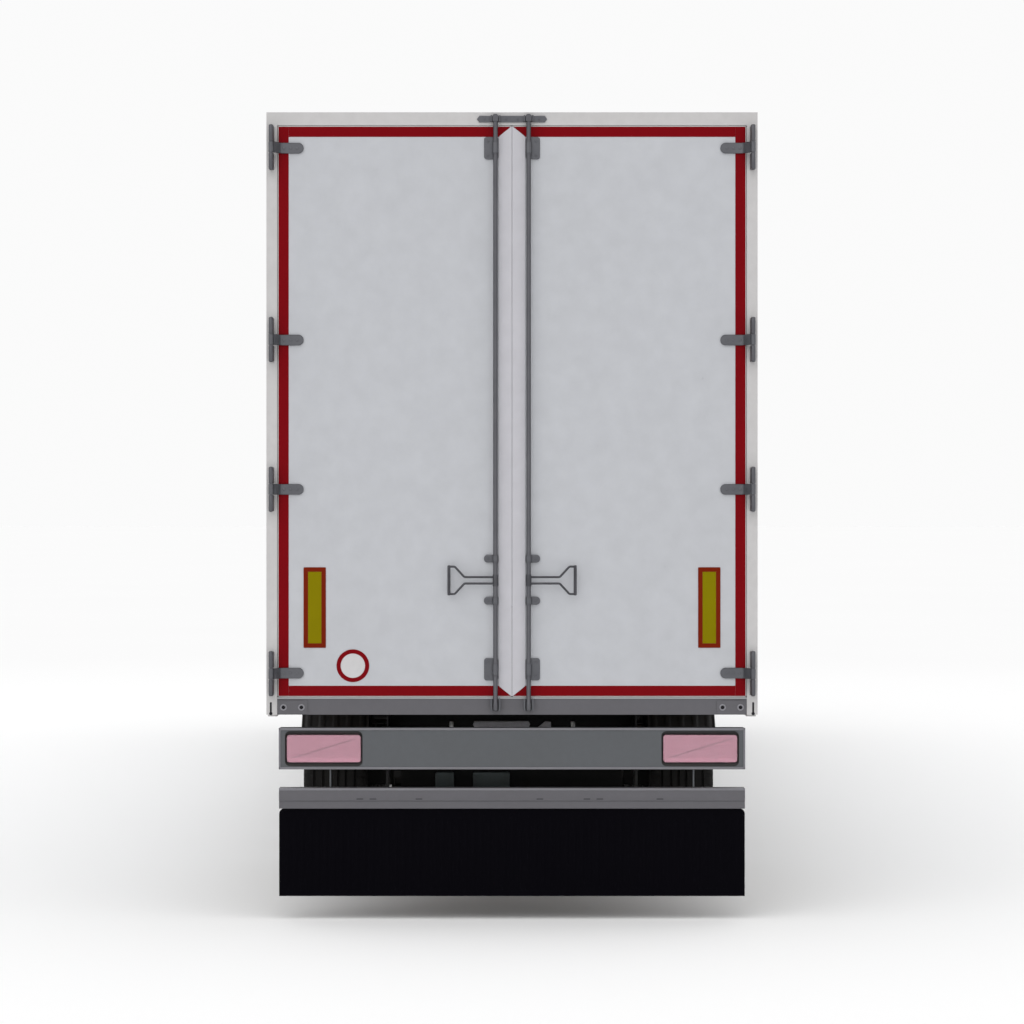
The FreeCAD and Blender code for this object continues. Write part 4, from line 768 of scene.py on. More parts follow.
def under_run_slots():
    """Oblong slots for the beam's fixings, just over its crease: thin proud plates painted
    dark as painted shade of the slots.
    """
    level = UNDER_CREASE + 0.013
    boxes = [(x - 0.018, level - 0.0035, x + 0.018, level + 0.0035) for x in UNDER_BOLTS]
    return [plate(round_rect(*box, 0.0034), REAR + 0.001, REAR - 0.0008, 0.0006) for box in boxes]


def stay_parts():
    """Thin stays that join the light bar to the under-run beam near their ends."""
    return [peg((STAY_X, REAR + 0.03, 0), "z", UNDER_TOP - 0.002, LIGHT_LOW[2] + 0.02, 0.0045, 14)]


def flap_parts():
    """The flap: a thin sheet whose face is pressed into upright ribs. Its depth is a
    smooth wave across the width, level near all edges. Its upper corners are round."""
    low, high = FLAP_LOW[2], FLAP_HIGH[2]
    start, end = FLAP_LOW[1], FLAP_HIGH[1]
    radius = FLAP_ROUND
    columns = 485
    curve = high - radius + radius * np.sin(np.radians(np.linspace(0, 84, 8)))
    rows = np.array([low, low + 0.002, low + 0.03, low + 0.038, high - radius - 0.035,
                     high - radius - 0.027, *curve])
    across = np.linspace(-1, 1, columns)
    over = np.maximum(rows - high + radius, 0)
    width = FLAP_HIGH[0] - radius + np.sqrt(np.maximum(radius ** 2 - over ** 2, 0))
    fade = np.interp(rows, [low + 0.03, low + 0.038, high - 0.062, high - 0.054], [0, 1, 1, 0])
    wave = np.clip(np.cos(across * math.pi * 60) * 2.2, -1, 1) * 0.5 + 0.5
    wave *= np.interp(np.abs(across), [0.975, 0.98], [1, 0])
    depth = start + 0.0022 * (1 - fade[:, None] * wave)
    x, z = across * width[:, None], rows[:, None]
    points = np.concatenate([places_at(x, depth, z), places_at(x, end, z)[::-1]])
    flat, faces = grid_shell(points, True, False)
    ring = np.arange(len(points)) * columns
    return [outward(flat, faces + [ring[None], (ring + columns - 1)[None, ::-1]])]


# Wheels

def tyre_points(columns):
    """The tyre's skin: a section turned about the axle. Around the tread the radius
    drops in straight grooves that run round the tyre and in short cuts at its
    shoulders, and on the walls it rises in thin rings."""
    half = (TYRE_HIGH[0] - TYRE_LOW[0]) / 2
    radius = TYRE_RADIUS
    seat = 0.2883
    shares = np.array([
        (0.93, 0.665), (0.965, 0.695), (0.99, 0.73), (1, 0.765), (1, 0.79), (0.997, 0.83),
        (0.99, 0.87), (0.975, 0.905), (0.95, 0.935), (0.922, 0.955), (0.88, 0.972), (0.83, 0.983)])
    bead = [(0.112, seat), (0.1365, seat), (0.1368, 0.306), (0.149, 0.312)]
    wall = np.concatenate([bead, shares * (half, radius)])
    wall[4:13, 0] += 0.0012, 0, 0.0018, -0.0008, 0.0012, 0, -0.0012, 0, 0.0015
    places = [0.145]
    for groove in (0.122, 0.068, 0.022):
        places += [groove + 0.0085, groove + 0.0062, groove - 0.0062, groove - 0.0085]
    places = np.array(places)
    crown = radius - 0.006 * (places / 0.15) ** 2.2
    right = np.concatenate([wall, np.stack([places, crown], 1)])
    sunk = np.zeros(len(right))
    sunk[len(wall) + 2::4] = 0.014
    sunk[len(wall) + 3::4] = 0.014
    section = np.concatenate([right, right[::-1] * (-1, 1)])
    sunk = np.concatenate([sunk, sunk[::-1]])[:, None]
    reach, level = np.abs(section[:, :1]), section[:, 1:]
    angle = full_turn(columns)
    edge = np.interp(level, [radius * 0.93, radius * 0.955], [0, 1])
    edge *= np.interp(reach, [0.128, 0.14], [0, 1])
    blocks = np.clip(np.cos(angle * 48) * 4 + 2.4, 0, 1)
    fine = np.clip(np.cos(angle * 96 + 0.6) * 5 - 4.1, 0, 1)
    sipes = (sunk == 0) * (reach < 0.128)
    radii = level - sunk - 0.007 * edge * (1 - blocks) - 0.003 * sipes * fine
    return spun(section[:, 0], radii, "x", columns)


def tyre_part(centre):
    """The skin closed by its inside, which stays hidden on the rim."""
    columns = 384
    half = np.array([(0.112, 0.31), (0.139, 0.33), (0.168, 0.39), (0.166, 0.43), (0.143, 0.468)])
    inside = np.concatenate([half * (-1, 1), [(0, 0.473)], half[::-1]])
    back = spun(inside[:, 0], inside[:, 1:], "x", columns)
    flat, faces = grid_shell(np.concatenate([tyre_points(columns), back]), True, True)
    return flat + centre, faces


def round_axle(parts, count, offset=0.0):
    """Copies of parts made about the X axis, spread evenly round it."""
    spread = []
    for step in range(count):
        angle = 2 * math.pi * (step + offset) / count
        turn = np.array([[1, 0, 0], [0, math.cos(angle), -math.sin(angle)],
                         [0, math.sin(angle), math.cos(angle)]])
        spread += [(points @ turn.T, faces) for points, faces in parts]
    return spread


def wheel_trim():
    """Nuts with their studs, the ring of the hub, the ribbed hub cap, a valve, and a
    rounded lip that caps the rim's outer flange."""
    face, hub = WHEEL_FACE, HUB_END
    centre = (face, 0, NUT_CIRCLE)
    washer = [(0, 0), (0, 0.0175), (0.003, 0.0175), (0.004, 0.0155), (0.004, 0)]
    nut = [turned(washer, centre, "x", 16),
           peg(centre, "x", 0.003, 0.023, 0.0148, 6, 0.002),
           peg(centre, "x", 0.02, 0.031, 0.0085, 12, 0.0015)]
    cap = [(face - 0.002, 0), (face + 0.006, 0.092), (face + 0.012, 0.088),
           (hub - 0.03, 0.082), (hub - 0.024, 0.0735), (hub - 0.02, 0.0735), (hub - 0.018, 0.078),
           (hub - 0.008, 0.077), (hub - 0.003, 0.071), (hub - 0.0012, 0.055),
           (hub - 0.003, 0.052), (hub - 0.0006, 0.048), (hub - 0.0006, 0), (face - 0.002, 0)]
    cap_bolt = peg((hub, 0, 0.083), "x", -0.022, -0.010, 0.0062, 6, 0.001)
    valve = bent([(face - 0.006, 0.045, 0.222), (face + 0.012, 0.045, 0.226),
                  (face + 0.022, 0.045, 0.252)], 0.008, 4)
    lip = [(0.1462, 0.3), (0.1484, 0.3006), (0.1495, 0.3035), (0.1482, 0.3062),
           (0.1452, 0.3066), (0.1445, 0.303)]
    return [*round_axle(nut, 10, 0.5), turned(cap, (0, 0, 0), "x", 64),
            *round_axle([cap_bolt], 6), pipe(valve, 0.004, 10, up=(0, 1, 0)),
            turned(lip, (0, 0, 0), "x", 96)]


# Body

def seam_levels(start, end, pitch):
    """Places of the seams between panels of about one pitch from start to end."""
    count = max(1, round((end - start) / pitch))
    return np.linspace(start, end, count + 1)[1:-1]


def wall_parts():
    """Cover strips over the joints of the side wall's panels."""
    face = WALL_HIGH[0]
    levels = (WALL_LOW[2] + 0.004, WALL_HIGH[2] - 0.004)
    return [bar((face - 0.001, face + STRIP_PROUD), about(y, 0.022), levels, 0.0008, "z")
            for y in seam_levels(WALL_LOW[1], WALL_HIGH[1], WALL_PITCH)]


def side_rivets():
    """Rivets in rows: along the roof rail and beside each cover strip."""
    along = np.arange(WALL_LOW[1] + 0.06, WALL_HIGH[1] - 0.03, RIVET_PITCH)
    up = np.arange(WALL_LOW[2] + 0.07, WALL_HIGH[2] - 0.04, RIVET_PITCH)
    face = WALL_HIGH[0] + STRIP_PROUD - 0.0002
    top = places_at(HALF_WIDTH - 0.002, along, corners("roof_rails")[0][2] + 0.016)
    places = [places_at(face, row, up) for y in seam_levels(WALL_LOW[1], WALL_HIGH[1], WALL_PITCH)
              for row in about(y, 0.012)]
    return [repeated(rivet((1, 0, 0), 0.0018), top),
            repeated(rivet((1, 0, 0), 0.0016), np.concatenate(places))]


def front_parts():
    """Two stiff strips up the front wall, one across near its foot and one at its top."""
    face, edge = FRONT_HIGH[1], FRONT_HIGH[0]
    low, high = FRONT_LOW[2] + 0.01, FRONT_HIGH[2] - 0.01
    parts = [bar(about(x, 0.025), (face - 0.001, face + 0.0028), (low, high), 0.001, "z")
             for x in (-FRONT_STRIP_X, FRONT_STRIP_X)]
    return parts + [bar((-edge, edge), (face - 0.001, face + 0.0034), levels, 0.001, "x")
                    for levels in ((low + 0.13, low + 0.19), (high - 0.06, high))]


def front_rivets():
    """Rivets in two rows on each upright strip and in one row on each cross strip."""
    face = FRONT_HIGH[1]
    up = np.arange(FRONT_LOW[2] + 0.25, FRONT_HIGH[2] - 0.1, RIVET_PITCH)
    across = np.arange(-FRONT_HIGH[0] + 0.04, FRONT_HIGH[0] - 0.02, RIVET_PITCH)
    upright = [places_at(x, face + 0.0026, up) for middle in (-FRONT_STRIP_X, FRONT_STRIP_X)
               for x in about(middle, 0.012)]
    level = [places_at(across, face + 0.0032, z)
             for z in (FRONT_LOW[2] + 0.17, FRONT_HIGH[2] - 0.04)]
    return [repeated(rivet((0, 1, 0), 0.0012), np.concatenate(upright)),
            repeated(rivet((0, 1, 0), 0.0008), np.concatenate(level))]


def roof_parts():
    """Cover strips across the roof over its panel joints."""
    face, edge = ROOF_HIGH[2], ROOF_HIGH[0] - 0.002
    return [bar((-edge, edge), about(y, 0.03), (face - 0.001, face + 0.0026), 0.001, "x")
            for y in seam_levels(ROOF_LOW[1], ROOF_HIGH[1], ROOF_PITCH)]


def marker_places():
    """Side marker lamps stand in the open side of the base rail, midway between ribs."""
    first = BASE_LOW[1] + RIB_START
    places = seam_levels(BASE_LOW[1] - 0.4, BASE_HIGH[1] + 0.4, MARKER_PITCH)
    return first + (np.floor((places - first) / RIB_PITCH) + 0.5) * RIB_PITCH


def marker_parts():
    """Side marker lamp: a black base with a tinted cover that bulges out."""
    x = HALF_WIDTH - RIB_DEPTH
    level = (BASE_LOW[2] + BASE_HIGH[2]) / 2
    parts = []
    for y in marker_places():
        base = round_rect(y - 0.062, level - 0.027, y + 0.062, level + 0.027, 0.012)
        lens = round_rect(y - 0.055, level - 0.021, y + 0.055, level + 0.021, 0.010)
        parts += [plate(base, x, x + 0.012, 0.002, "x"),
                  plate(lens, x + 0.011, x + 0.031, 0.0085, "x", 5)]
    return parts, [0, 1] * (len(parts) // 2)


def base_rail_ribs():
    """Upright ribs in the channel of the base rail, over each cross member."""
    return [bar((HALF_WIDTH - RIB_DEPTH, HALF_WIDTH - 0.004), about(y, 0.003),
                (BASE_LOW[2] + 0.008, BASE_HIGH[2] - 0.008), 0.0006, "z")
            for y in np.arange(BASE_LOW[1] + RIB_START, BASE_HIGH[1] - 0.05, RIB_PITCH)]


# Running gear and chassis

def axle_fittings():
    """At each arm: a plate over the arm's seat and one under the beam, held together
    by four threaded bars with their nuts."""
    top, foot = AXLE_Z + 0.134, AXLE_Z - 0.066
    parts = []
    for y in AXLE_PLACES:
        for levels in ((top, top + 0.014), (foot - 0.016, foot)):
            parts.append(bar(about(RAIL_X, 0.068), about(y, 0.100), levels, 0.004, "z"))
        for x in about(RAIL_X, 0.053):
            for along in about(y, 0.082):
                parts.append(peg((x, along, 0), "z", foot - 0.046, top + 0.036, 0.009, 12, 0.002))
                parts += bolts([(x, along, foot - 0.016)], (0, 0, -1), 0.0145, 0.018)
                parts += bolts([(x, along, top + 0.014)], (0, 0, 1), 0.0145, 0.018)
    return parts


def brake_fittings():
    """The clamp band round each brake chamber, the band's bolts, and its domed end."""
    radius = CHAMBER_RADIUS
    level = AXLE_Z + radius
    band = [(0.091, radius - 0.002), (0.089, radius + 0.008), (0.083, radius + 0.011),
            (0.077, radius + 0.008), (0.075, radius - 0.002)]
    dome = [(0.001, 0), (0.001, radius - 0.003), (-0.006, radius - 0.006),
            (-0.014, radius - 0.018), (-0.019, radius - 0.040), (-0.020, 0)]
    parts = []
    for y in AXLE_PLACES:
        back = (CHAMBER_X, y - CHAMBER_BACK, level)
        parts += [turned(band, back, "y", 40), turned(dome, back, "y", 40),
                  peg(back, "y", -0.018, -0.034, 0.011, 6, 0.002)]
        for x, z in arc((CHAMBER_X, level), radius + 0.017, 60, 240, 1):
            parts.append(peg((x, back[1], z), "y", 0.066, 0.100, 0.006, 6, 0.001))
    return parts


def bellows_parts():
    """Air spring: a turned rubber skin with a rolled foot, a soft shoulder and moulded
    rings, over its piston and under a bolted plate."""
    seat, top = SPRING_LOW[2], SPRING_HIGH[2]
    crown, foot = top - 0.014, seat + 0.042
    lobe = 0.032
    middle = SPRING_RADIUS - lobe
    level = np.linspace(foot + lobe, crown - lobe, 19)[1:-1]
    ring = 0.0028 * (0.5 - 0.5 * np.cos(np.linspace(0, 6 * math.pi, 17)))
    skin = np.concatenate([[(0.0, foot), (0.07, foot)],
                           arc((middle, foot + lobe), lobe, -90, 0, 8),
                           np.stack([SPRING_RADIUS - ring, level], 1),
                           arc((middle, crown - lobe), lobe, 0, 90, 8),
                           [(0.09, crown), (0.0, crown)]])[:, ::-1]
    piston = [(seat, 0), (seat, 0.080), (seat + 0.003, 0.083), (foot - 0.004, 0.086),
              (foot + 0.002, 0.084), (foot + 0.002, 0)]
    cap = [(crown - 0.001, 0), (crown - 0.001, 0.097), (crown + 0.003, 0.1), (top - 0.0006, 0.1),
           (top - 0.0006, 0)]
    parts = [turned(profile, (RAIL_X, y - SPRING_BEHIND, 0), "z", 48)
             for y in AXLE_PLACES for profile in (skin, piston, cap)]
    return parts, [0, 1, 1] * len(AXLE_PLACES)


def pivot_fittings():
    """Big washers and nuts on the pivot of each arm, on both cheeks of its bracket."""
    return [peg((RAIL_X + side * 0.0515, y + PIVOT_AHEAD, AXLE_Z + PIVOT_RISE), "x",
                side * start, side * end, radius, sides, bevel)
            for y in AXLE_PLACES for side in (-1, 1)
            for start, end, radius, sides, bevel in (
                (0, 0.007, 0.031, 28, 0.0015), (0.006, 0.026, 0.023, 6, 0.003),
                (0.024, 0.034, 0.0135, 16, 0.002))]


def rib_places():
    """Stiffeners stand between the cross members and clear of the mudguard stays."""
    places = np.arange(REAR + 2.30, FRONT_HIGH[1] - 3.7, 0.62)
    stays = np.array([y + side * 0.4626 for y in AXLE_PLACES for side in (-1, 1)])
    clear = np.abs(places[:, None] - stays[None, :]).min(1) > 0.05
    return places[clear & (np.abs(places - LEG_Y) > 0.16)]


def rail_fittings():
    """Upright stiffeners between the flanges on the outside of the main rail."""
    return [bar((RAIL_X + 0.003, RAIL_X + 0.052), about(y, 0.004), (RAIL_LOW_Z + 0.013, 1.063),
                0.001, "z") for y in rib_places()]


def guard_skin():
    """Mudguard: an arched sheet over the tyre. Its outer radius rises in round ribs
    that run along the arch, and both rims are rolled. A tube with two hooks carries
    each end on the main rail."""
    half = MUDGUARD_HALF
    inner = TYRE_RADIUS + 0.030
    outer = inner + 0.005
    ends = about(90, MUDGUARD_REACH)
    angle = np.radians(np.linspace(*ends, 61))[:, None]
    across = np.linspace(-half, half, 83)
    ribs = 0.005 * np.clip(np.cos(across / half * math.pi * 5) * 1.5, 0, 1)
    ribs *= np.interp(np.abs(across), [0.172, 0.186], [1, 0])
    rim = np.interp(np.abs(across), [0.193, 0.1975, 0.201, half], [0, 0.005, 0.005, 0])
    radius = np.concatenate([outer + ribs + rim, np.full(len(across), inner)])
    x = WHEEL_X + np.concatenate([across, across[::-1]])
    parts = []
    for y in AXLE_PLACES:
        sheet = places_at(x, y + np.cos(angle) * radius, AXLE_Z + np.sin(angle) * radius)
        parts.append(grid_shell(sheet, False, True, caps=True))
        for turn, (along, level) in zip(ends, arc((y, AXLE_Z), outer + 0.0125, *ends, 1)):
            parts.append(peg((0, along, level), "x", RAIL_X + 0.004, WHEEL_X + half, 0.015, 20,
                             0.002))
            parts.append(bar((RAIL_X + 0.003, RAIL_X + 0.012), about(along, 0.035),
                             about(level, 0.035), 0.003, "x"))
            for place in about(WHEEL_X, 0.12):
                hook = laid(arc((along, level), 0.018, turn - 100, turn + 100, 14), place, "x")
                parts.append(pipe(hook, 0.0035, 8, up=(1, 0, 0)))
    return parts


def leg_fittings():
    """Bolts of the leg's plate, a collar where the inner leg slides out, the cover and
    bolts of the gear case, and the pin of the foot."""
    plate_bolts = [(LEG_FACE, y, level) for y in about(LEG_Y, 0.080)
                   for level in (0.77, 0.85, 0.93, 1.01, 1.09)]
    case_bolts = [(CASE_FACE, y, SHAFT_Z + rise) for y in about(LEG_Y, 0.058)
                  for rise in (-0.078, 0.0, 0.078)]
    collars = [bar(about(LEG_X, LEG_COLLAR), about(LEG_Y, LEG_COLLAR), levels, 0.003, "z")
               for levels in ((0.4205, 0.446), (1.098, 1.118))]
    cover = [(0, 0.0112), (0, 0.030), (0.010, 0.030), (0.012, 0.026), (0.018, 0.022),
             (0.020, 0.018), (0.020, 0.0112)]
    return (bolts(plate_bolts, (1, 0, 0), 0.011, 0.013)
            + bolts(case_bolts, (1, 0, 0), 0.0075, 0.008) + collars
            + [peg((LEG_X, LEG_Y, 0.056), "x", -0.072, 0.072, 0.012, 18, 0.002),
               turned(cover, (CASE_FACE, LEG_Y, SHAFT_Z), "x", 32)])


def crank_parts():
    """Ribbed grip sleeve on the crank's handle and the hinge pin at its bend."""
    start = CRANK_END - 0.112
    profile = [(start, 0)]
    for place in np.arange(start, CRANK_END - 0.025, 0.012):
        profile += [(place, 0.0135), (place + 0.008, 0.0152), (place + 0.0105, 0.0135)]
    profile.append((profile[-1][0], 0))
    grip = turned(profile, (0, LEG_Y, SHAFT_Z - CRANK_DROP), "x", 24)
    return [grip, peg((CRANK_END - 0.011, LEG_Y, SHAFT_Z), "y", -0.018, 0.018, 0.0065, 16, 0.001)]


def side_guard_trim():
    """Plastic caps in the ends of the side guard's profiles, and two shallow ridges
    along each."""
    face = GUARD_X + 0.027
    start, end = GUARD_LOW[1], GUARD_HIGH[1]
    caps, ridges = [], []
    for level in GUARD_LEVELS:
        outline = round_rect(GUARD_X + 0.001, level + 0.001, face, level + 0.109, 0.007)
        caps += [plate(outline, y - side * 0.002, y + side * 0.005, 0.002)
                 for y, side in ((start, -1), (end, 1))]
        ridges += [bar((face, face + 0.003), (start + 0.006, end - 0.006),
                       about(level + rise, 0.005), 0.0012, "z") for rise in (0.024, 0.086)]
    return caps, ridges


def side_guard_bolts():
    """Round-headed bolts through the profiles at each hanging post, and their nuts."""
    head = [(0, 0), (0, 0.012), (0.002, 0.011), (0.0045, 0.006), (0.005, 0)]
    start, end = GUARD_LOW[1], GUARD_HIGH[1]
    back = GUARD_X - 0.0302
    parts = []
    for y in start + (end - start) * np.linspace(0.11, 0.89, 4):
        for level in GUARD_LEVELS:
            level = level + 0.055
            parts.append(turned(head, (GUARD_X + 0.0278, y, level), "x", 20))
            parts += bolts([(back, y, level)], (-1, 0, 0), 0.009, 0.010)
        parts += bolts([(back, y, 1.03)], (-1, 0, 0), 0.009, 0.010)
    return parts


def tank_fittings():
    """Steel bands round each air tank at its hangers, its weld rings, a port with a
    plug at the end, and a drain valve below."""
    radius = TANK_RADIUS
    centre = (TANK_X, TANK_Y, TANK_Z)
    band = [(-0.018, radius - 0.001), (-0.018, radius + 0.0025), (0.018, radius + 0.0025),
            (0.018, radius - 0.001)]
    weld = [(-0.004, radius - 0.002), (-0.002, radius + 0.002), (0.002, radius + 0.002),
            (0.004, radius - 0.002)]
    bands = [turned(band, (TANK_X, y, TANK_Z), "y", 56) for y in about(TANK_Y, 0.225)]
    welds = [turned(weld, (TANK_X, y, TANK_Z), "y", 56) for y in about(TANK_Y, 0.318)]
    bands += [peg((TANK_X, TANK_Y, TANK_Z + 0.03), "y", side * 0.378, side * 0.398, 0.014, 6,
                  0.002) for side in (-1, 1)]
    bands += [peg(centre, "z", 0.004 - radius, -radius - 0.010, 0.014, 6, 0.002),
              peg(centre, "z", -radius - 0.009, -radius - 0.030, 0.007, 14, 0.0015)]
    return welds, bands


def coupling_parts():
    """Two air coupling heads with their lids at the ends of the row, and two electric
    sockets with hinged caps between them."""
    start = COUPLING_FACE
    groups = []
    for x, colour in zip((-0.225, -0.075, 0.075, 0.225), (1, 0, 0, 2)):
        neck, head = (0.0288, 0.033) if colour else (0.0295, 0.0355)
        profile = [(-0.001, 0), (-0.001, 0.036), (0.006, 0.036), (0.008, neck), (0.028, neck),
                   (0.031, head), (0.044, head), (0.047, head - 0.003), (0.047, 0)]
        level = COUPLING_Z + head
        lid = bar(about(x, 0.013), (start + 0.034, start + 0.046), (level - 0.004, level + 0.012),
                  0.002)
        hinge = peg((x, start + 0.040, level + 0.008), "x", -0.020, 0.020, 0.0045, 12, 0.001)
        places = [(along, start, z) for along in about(x, 0.031)
                  for z in about(COUPLING_Z, 0.031)]
        groups += [(colour, [turned(profile, (x, start, COUPLING_Z), "y", 36), lid]),
                   (3, [hinge] + bolts(places, (0, 1, 0), 0.0045, 0.005))]
    return marked(*groups)


def coupler_fittings():
    """The ring of bolts round the king pin's flange, under the coupling plate."""
    low, high = corners("king_pin")
    centre = (low + high) / 2
    ring = arc(centre[:2], 0.062, 22.5, 337.5, 7)
    return bolts(laid(ring, high[2] - 0.0118, "z"), (0, 0, -1), 0.0062, 0.005)


def beam_fittings():
    """What shows through the gaps round the light bar: a pale ledge with sloped ends,
    a slanted gusset and two tabs, and two dim covers lower down. The ledge, gusset and
    tabs are painted much lighter: painted light that makes up for the gap's shade."""
    ledge = np.array([(-0.205, 0.984), (-0.197, 0.966), (0.092, 0.966), (0.100, 0.984),
                      (0.092, 1.002), (-0.197, 1.002)])
    gusset = np.array([(0.140, 0.966), (0.212, 0.966), (0.212, 0.998), (0.180, 1.000)])
    back = BEAM_FACE + 0.001
    pale = [plate(ledge, back, BEAM_FACE - 0.030, 0.004),
            plate(gusset, back, BEAM_FACE - 0.020, 0.002)]
    tabs = [bar(about(x, 0.011), (BEAM_FACE - 0.024, back), (0.966, 1.000), 0.004)
            for x in (-0.320, 0.329)]
    covers = [plate(round_rect(x0, 0.640, x1, 0.730, 0.012), back, BEAM_FACE - 0.035, 0.004)
              for x0, x1 in ((-0.405, -0.305), (-0.205, -0.008))]
    return marked((0, pale), (1, tabs), (2, covers))


def kick_parts():
    """Inside the box: a kick strip along the foot of each side wall and a narrow rail
    along its upper edge."""
    x = WALL_LOW[0]
    along = (WALL_LOW[1] + 0.05, WALL_HIGH[1] - 0.05)
    return [bar((x - 0.006, x + 0.001), along, (1.20, 1.45), 0.002, "z"),
            bar((x - 0.012, x + 0.001), along, (1.45, 1.48), 0.003, "z")]


# Shader groups

def feed(tree, socket, source):
    """Gives an input a link or a plain value."""
    if isinstance(source, bpy.types.NodeSocket):
        tree.links.new(source, socket)
    else:
        socket.default_value = source


def add(tree, kind, inputs=(), **settings):
    """One node with its settings, and its inputs as links or plain values."""
    node = tree.nodes.new(f"ShaderNode{kind}")
    for name, value in settings.items():
        setattr(node, name, value)
    for name, source in dict(inputs).items():
        feed(tree, node.inputs[name], source)
    return node


def object_place(tree):
    """The place on the object, in metres."""
    return add(tree, "TexCoord").outputs["Object"]


def noise(tree, place, scale=10.0, detail=3.0, roughness=0.55):
    """Soft noise from 0 to 1."""
    return add(tree, "TexNoise", {"Scale": scale, "Detail": detail, "Roughness": roughness,
                                  "Vector": place}).outputs["Fac"]


def value_math(tree, operation, *sources, clamp=False):
    """A Math node whose inputs are links or plain numbers."""
    return add(tree, "Math", enumerate(sources), operation=operation, use_clamp=clamp).outputs[0]


def mix_colour(tree, factor, first, second, blend="MIX"):
    """Two colours mixed by a factor, each a link or plain values."""
    return add(tree, "Mix", {0: factor, 6: first, 7: second}, data_type="RGBA",
               blend_type=blend).outputs[2]


def relief(tree, height, distance, strength):
    """The normal of a surface that rises and falls with a height."""
    return add(tree, "Bump", {"Height": height, "Distance": distance,
                              "Strength": strength}).outputs["Normal"]


def make_group(name, inputs, outputs, build):
    """A shader group with named sockets: inputs give a kind and a default, and build
    makes the nodes and gives the source of each output."""
    group = bpy.data.node_groups.new(name, "ShaderNodeTree")
    for label, (kind, default) in inputs.items():
        socket = group.interface.new_socket(label, in_out="INPUT", socket_type=f"NodeSocket{kind}")
        socket.default_value = default
    for label, kind in outputs.items():
        group.interface.new_socket(label, in_out="OUTPUT", socket_type=f"NodeSocket{kind}")
    start = group.nodes.new("NodeGroupInput")
    end = group.nodes.new("NodeGroupOutput")
    for label, source in build(group, start.outputs).items():
        feed(group, end.inputs[label], source)


def weathered(group, given):
    """Mottled colour, grime that gathers in patches, uneven gloss and a fine relief."""
    place = object_place(group)
    patches = noise(group, place, given["Patch Scale"], 6, 0.6)
    sharp = add(group, "MapRange", {"From Min": 0.42, "From Max": 0.72, "Value": patches})
    amount = value_math(group, "MULTIPLY", sharp.outputs[0], given["Amount"], clamp=True)
    fine = noise(group, place, value_math(group, "MULTIPLY", given["Patch Scale"], 14.0), 4)
    speck = value_math(group, "MULTIPLY_ADD", fine, 0.16, 0.92)
    tinted = mix_colour(group, 1.0, given["Base"], speck, "MULTIPLY")
    uneven = value_math(group, "MULTIPLY", value_math(group, "SUBTRACT", fine, 0.5), 0.18)
    rough = value_math(group, "MULTIPLY_ADD", amount, 0.3,
                       value_math(group, "ADD", given["Roughness"], uneven), clamp=True)
    grain = noise(group, place, given["Grain Scale"], 2)
    return {"Color": mix_colour(group, amount, tinted, given["Grime"]), "Roughness": rough,
            "Normal": relief(group, grain, 0.0006, given["Grain Height"])}


def dusty(group, given):
    """Road dust: thick near the ground and in patches, thin above a set height."""
    place = object_place(group)
    level = add(group, "SeparateXYZ", {0: place}).outputs["Z"]
    share = value_math(group, "DIVIDE", level, given["Height"])
    low = value_math(group, "SUBTRACT", 1.0, share, clamp=True)
    cloud = noise(group, place, 4.5, 7, 0.65)
    mask = value_math(group, "MULTIPLY", value_math(group, "MULTIPLY", low, cloud),
                      given["Amount"], clamp=True)
    return {"Color": mix_colour(group, mask, given["Color"], given["Dust"]), "Mask": mask}


def scratched(group, given):
    """Fine scratches that run along one axis: noise squeezed across it."""
    place = object_place(group)
    squeezed = add(group, "VectorMath", {0: place, 1: given["Stretch"]}, operation="MULTIPLY")
    streak = noise(group, squeezed.outputs[0], 1.0)
    cloud = noise(group, place, 9.0, 5)
    shade = value_math(group, "MULTIPLY_ADD", streak, 0.22, 0.86)
    colour = mix_colour(group, 1.0, given["Base"], shade, "MULTIPLY")
    uneven = value_math(group, "MULTIPLY", value_math(group, "SUBTRACT", streak, 0.5), 0.3)
    return {"Color": mix_colour(group, value_math(group, "MULTIPLY", cloud, 0.25), colour,
                                (0.3, 0.3, 0.31, 1)),
            "Roughness": value_math(group, "ADD", given["Roughness"], uneven),
            "Normal": relief(group, streak, 0.0004, given["Depth"])}


def in_cells(group, given):
    """Small sealed cells in rows, as reflective sheeting shows close up."""
    place = object_place(group)
    cell = add(group, "TexVoronoi", {"Randomness": 0.12, "Vector": place,
                                     "Scale": given["Cell"]}, feature="DISTANCE_TO_EDGE")
    wall = add(group, "MapRange", {"From Min": 0.0, "From Max": 0.09,
                                   "Value": cell.outputs["Distance"]}).outputs[0]
    soft = noise(group, place, 6.0, 4)
    uneven = value_math(group, "MULTIPLY", value_math(group, "MULTIPLY_ADD", wall, 0.22, 0.8),
                        value_math(group, "MULTIPLY_ADD", soft, 0.16, 0.92))
    return {"Color": mix_colour(group, 1.0, given["Base"], uneven, "MULTIPLY"),
            "Roughness": value_math(group, "MULTIPLY_ADD", soft, 0.15, 0.26),
            "Normal": relief(group, wall, 0.0003, 0.15)}


